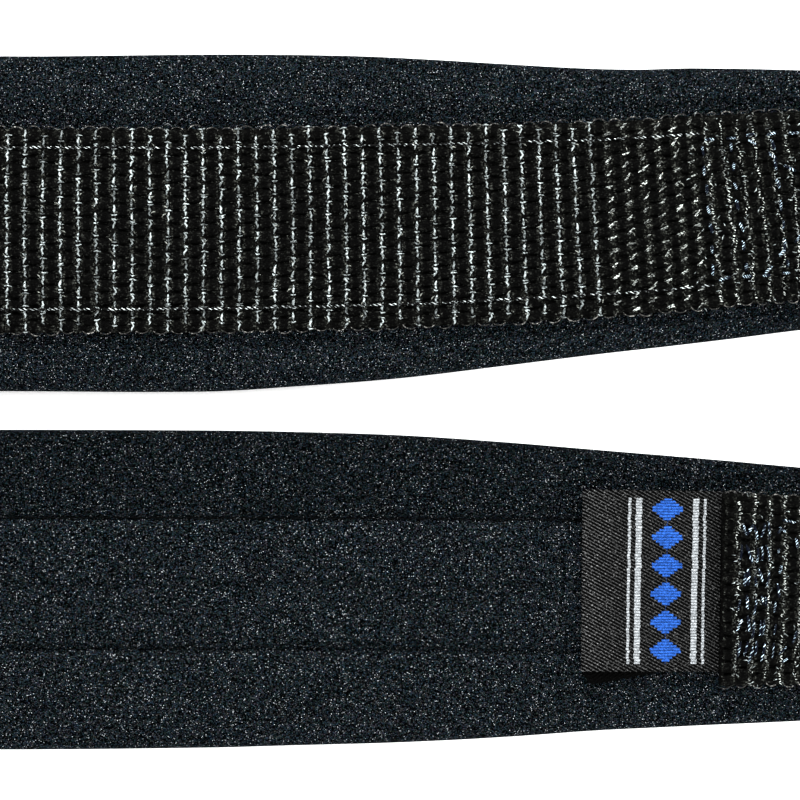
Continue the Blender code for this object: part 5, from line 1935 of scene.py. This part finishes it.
def hook_curve(slope):
    """The hook's outline and slot as one curve, with the bar's middle at x = 0, and its reach."""
    strap_half = STRAP_WIDTH / 2 * math.sqrt(1.0 + slope**2) + HOOK_WRAP * math.pi / 2 * slope
    slot_half = strap_half + HOOK_SLOT_CLEARANCE
    slot_start, slot_end = HOOK_BAR / 2, HOOK_WRAP + STRAP_HALF + HOOK_SLOT_PLAY
    shoulder = slot_end + HOOK_WALL
    throat = shoulder + HOOK_NECK_LENGTH + HOOK_ARM + THROAT
    frame_half, corner, left = slot_half + HOOK_WALL, HOOK_WALL * 0.75, -HOOK_BAR / 2
    flat = math.degrees(math.asin(HOOK_SEAT_WIDTH / 2 / THROAT))
    nose = polar(throat, THROAT + HOOK_NOSE, NOSE_ANGLE)
    tip = polar(throat, THROAT + HOOK_ARM / 2, TIP_ANGLE)
    neck_x, neck_y = shoulder + HOOK_NECK_LENGTH * 0.5, HOOK_NECK_WIDTH / 2 * 1.25
    outline = arc((left + corner, frame_half - corner), corner, 180, 90, 10)
    outline += arc((shoulder - corner, frame_half - corner), corner, 90, 40, 8)
    outline += [(neck_x, neck_y)]
    outline += arc(nose, HOOK_NOSE, 90, NOSE_ANGLE - 180, 12)
    outline += arc((throat, 0.0), THROAT, NOSE_ANGLE + 10, 360 - flat, 36)
    outline += arc((throat, 0.0), THROAT, 360 + flat, 360 + TIP_ANGLE, 12)
    outline += arc(tip, HOOK_ARM / 2, TIP_ANGLE + 150, TIP_ANGLE + 30, 12)
    outline += arc((throat, 0.0), THROAT + HOOK_ARM, TIP_ANGLE, -152, 48)
    outline += [(neck_x, -neck_y)]
    outline += arc((shoulder - corner, corner - frame_half), corner, -40, -90, 8)
    outline += arc((left + corner, corner - frame_half), corner, -90, -180, 10)
    small = HOOK_WALL * 0.4
    slot = []
    for x, y, start in (
        (slot_start + small, slot_half - small, 180), (slot_end - small, slot_half - small, 90),
        (slot_end - small, small - slot_half, 0), (slot_start + small, small - slot_half, -90),
    ):
        slot += arc((x, y), small, start, start - 90, 5)
    curve = bpy.data.curves.new("hook", "CURVE")
    curve.dimensions = "2D"
    curve.fill_mode = "BOTH"
    curve.extrude = HOOK_THICKNESS / 2 - HOOK_EDGE
    curve.bevel_depth = HOOK_EDGE
    curve.bevel_resolution = 4
    curve.offset = -HOOK_EDGE
    for points in (outline, slot):
        closed_spline(curve, points)
    return curve, throat + THROAT + HOOK_ARM


curve, tip_reach = hook_curve((SLOPE_A + SLOPE_B) / 2)
tilt = math.asin((HOOK_HEIGHT - HOOK_THICKNESS / 2) / tip_reach)
curve_piece("moulded_hook", curve, ((HOOK_X, HOOK_Y, HOOK_HEIGHT), (0.0, tilt, 0.0)), "hook")

# %% [markdown]
# ## The studio
# The picture was taken from straight above, on white, with soft light from all round: a little from
# the left and the right, more from the near edge and the far edge. The table is bright enough to
# look pure white beside the black cloth.

# %% Table, lights and camera
PHOTO_LEFT = -163.81 * MM
PIXELS_PER_MM = 5.4
PHOTO_SIZE = 800
PHOTO_MIDDLE_Y = 0.20 * MM
SCALE_HEIGHT = 6.0 * MM
LENS = 100.0
SENSOR = 36.0
AIM = (-0.09, 0.0, 0.0)
LIGHTS = (
    ("left_light", (-0.95, 0.15, 0.5), (0.5, 0.9), 10.0),
    ("right_light", (0.77, 0.15, 0.5), (0.5, 0.9), 10.0),
    ("far_light", (-0.09, 0.9, 0.5), (1.0, 0.35), 17.0),
    ("near_light", (-0.09, -0.9, 0.5), (1.0, 0.35), 15.0),
)


def table():
    bpy.ops.mesh.primitive_plane_add(size=30.0, location=(0.0, 0.0, 0.0))
    made = bpy.context.object
    made.name = "table"
    finish, board, shader = new_material("white_table", 0.9, Specular_IOR_Level=0.1)
    shader.inputs["Base Color"].default_value = (0.9, 0.9, 0.9, 1.0)
    shader.inputs["Emission Color"].default_value = (1.0, 1.0, 1.0, 1.0)
    shader.inputs["Emission Strength"].default_value = 0.5
    made.data.materials.append(finish)


def soft_light(name, place, size, watts):
    light = bpy.data.lights.new(name, "AREA")
    light.shape = "RECTANGLE"
    light.size, light.size_y = size
    light.energy = watts
    made = bpy.data.objects.new(name, light)
    made.location = place
    made.rotation_euler = (Vector(AIM) - Vector(place)).to_track_quat("-Z", "Y").to_euler()
    bpy.context.scene.collection.objects.link(made)


table()
for light in LIGHTS:
    soft_light(*light)
world = bpy.data.worlds.new("studio")
world.use_nodes = True
background = world.node_tree.nodes["Background"]
background.inputs["Color"].default_value = (1.0, 1.0, 1.0, 1.0)
background.inputs["Strength"].default_value = 0.4
bpy.context.scene.world = world
bpy.context.scene.view_settings.view_transform = "Standard"

field = PHOTO_SIZE / PIXELS_PER_MM * MM
camera = bpy.data.cameras.new("camera")
camera.lens, camera.sensor_width = LENS, SENSOR
camera.clip_start, camera.clip_end = 0.01, 20.0
eye = bpy.data.objects.new("camera", camera)
eye.location = (PHOTO_LEFT + field / 2, PHOTO_MIDDLE_Y, field * LENS / SENSOR + SCALE_HEIGHT)
bpy.context.scene.collection.objects.link(eye)
bpy.context.scene.camera = eye
print(f"the camera stands {eye.location.z * 1000:.0f} mm above the table and sees {field * 1000:.0f} mm")
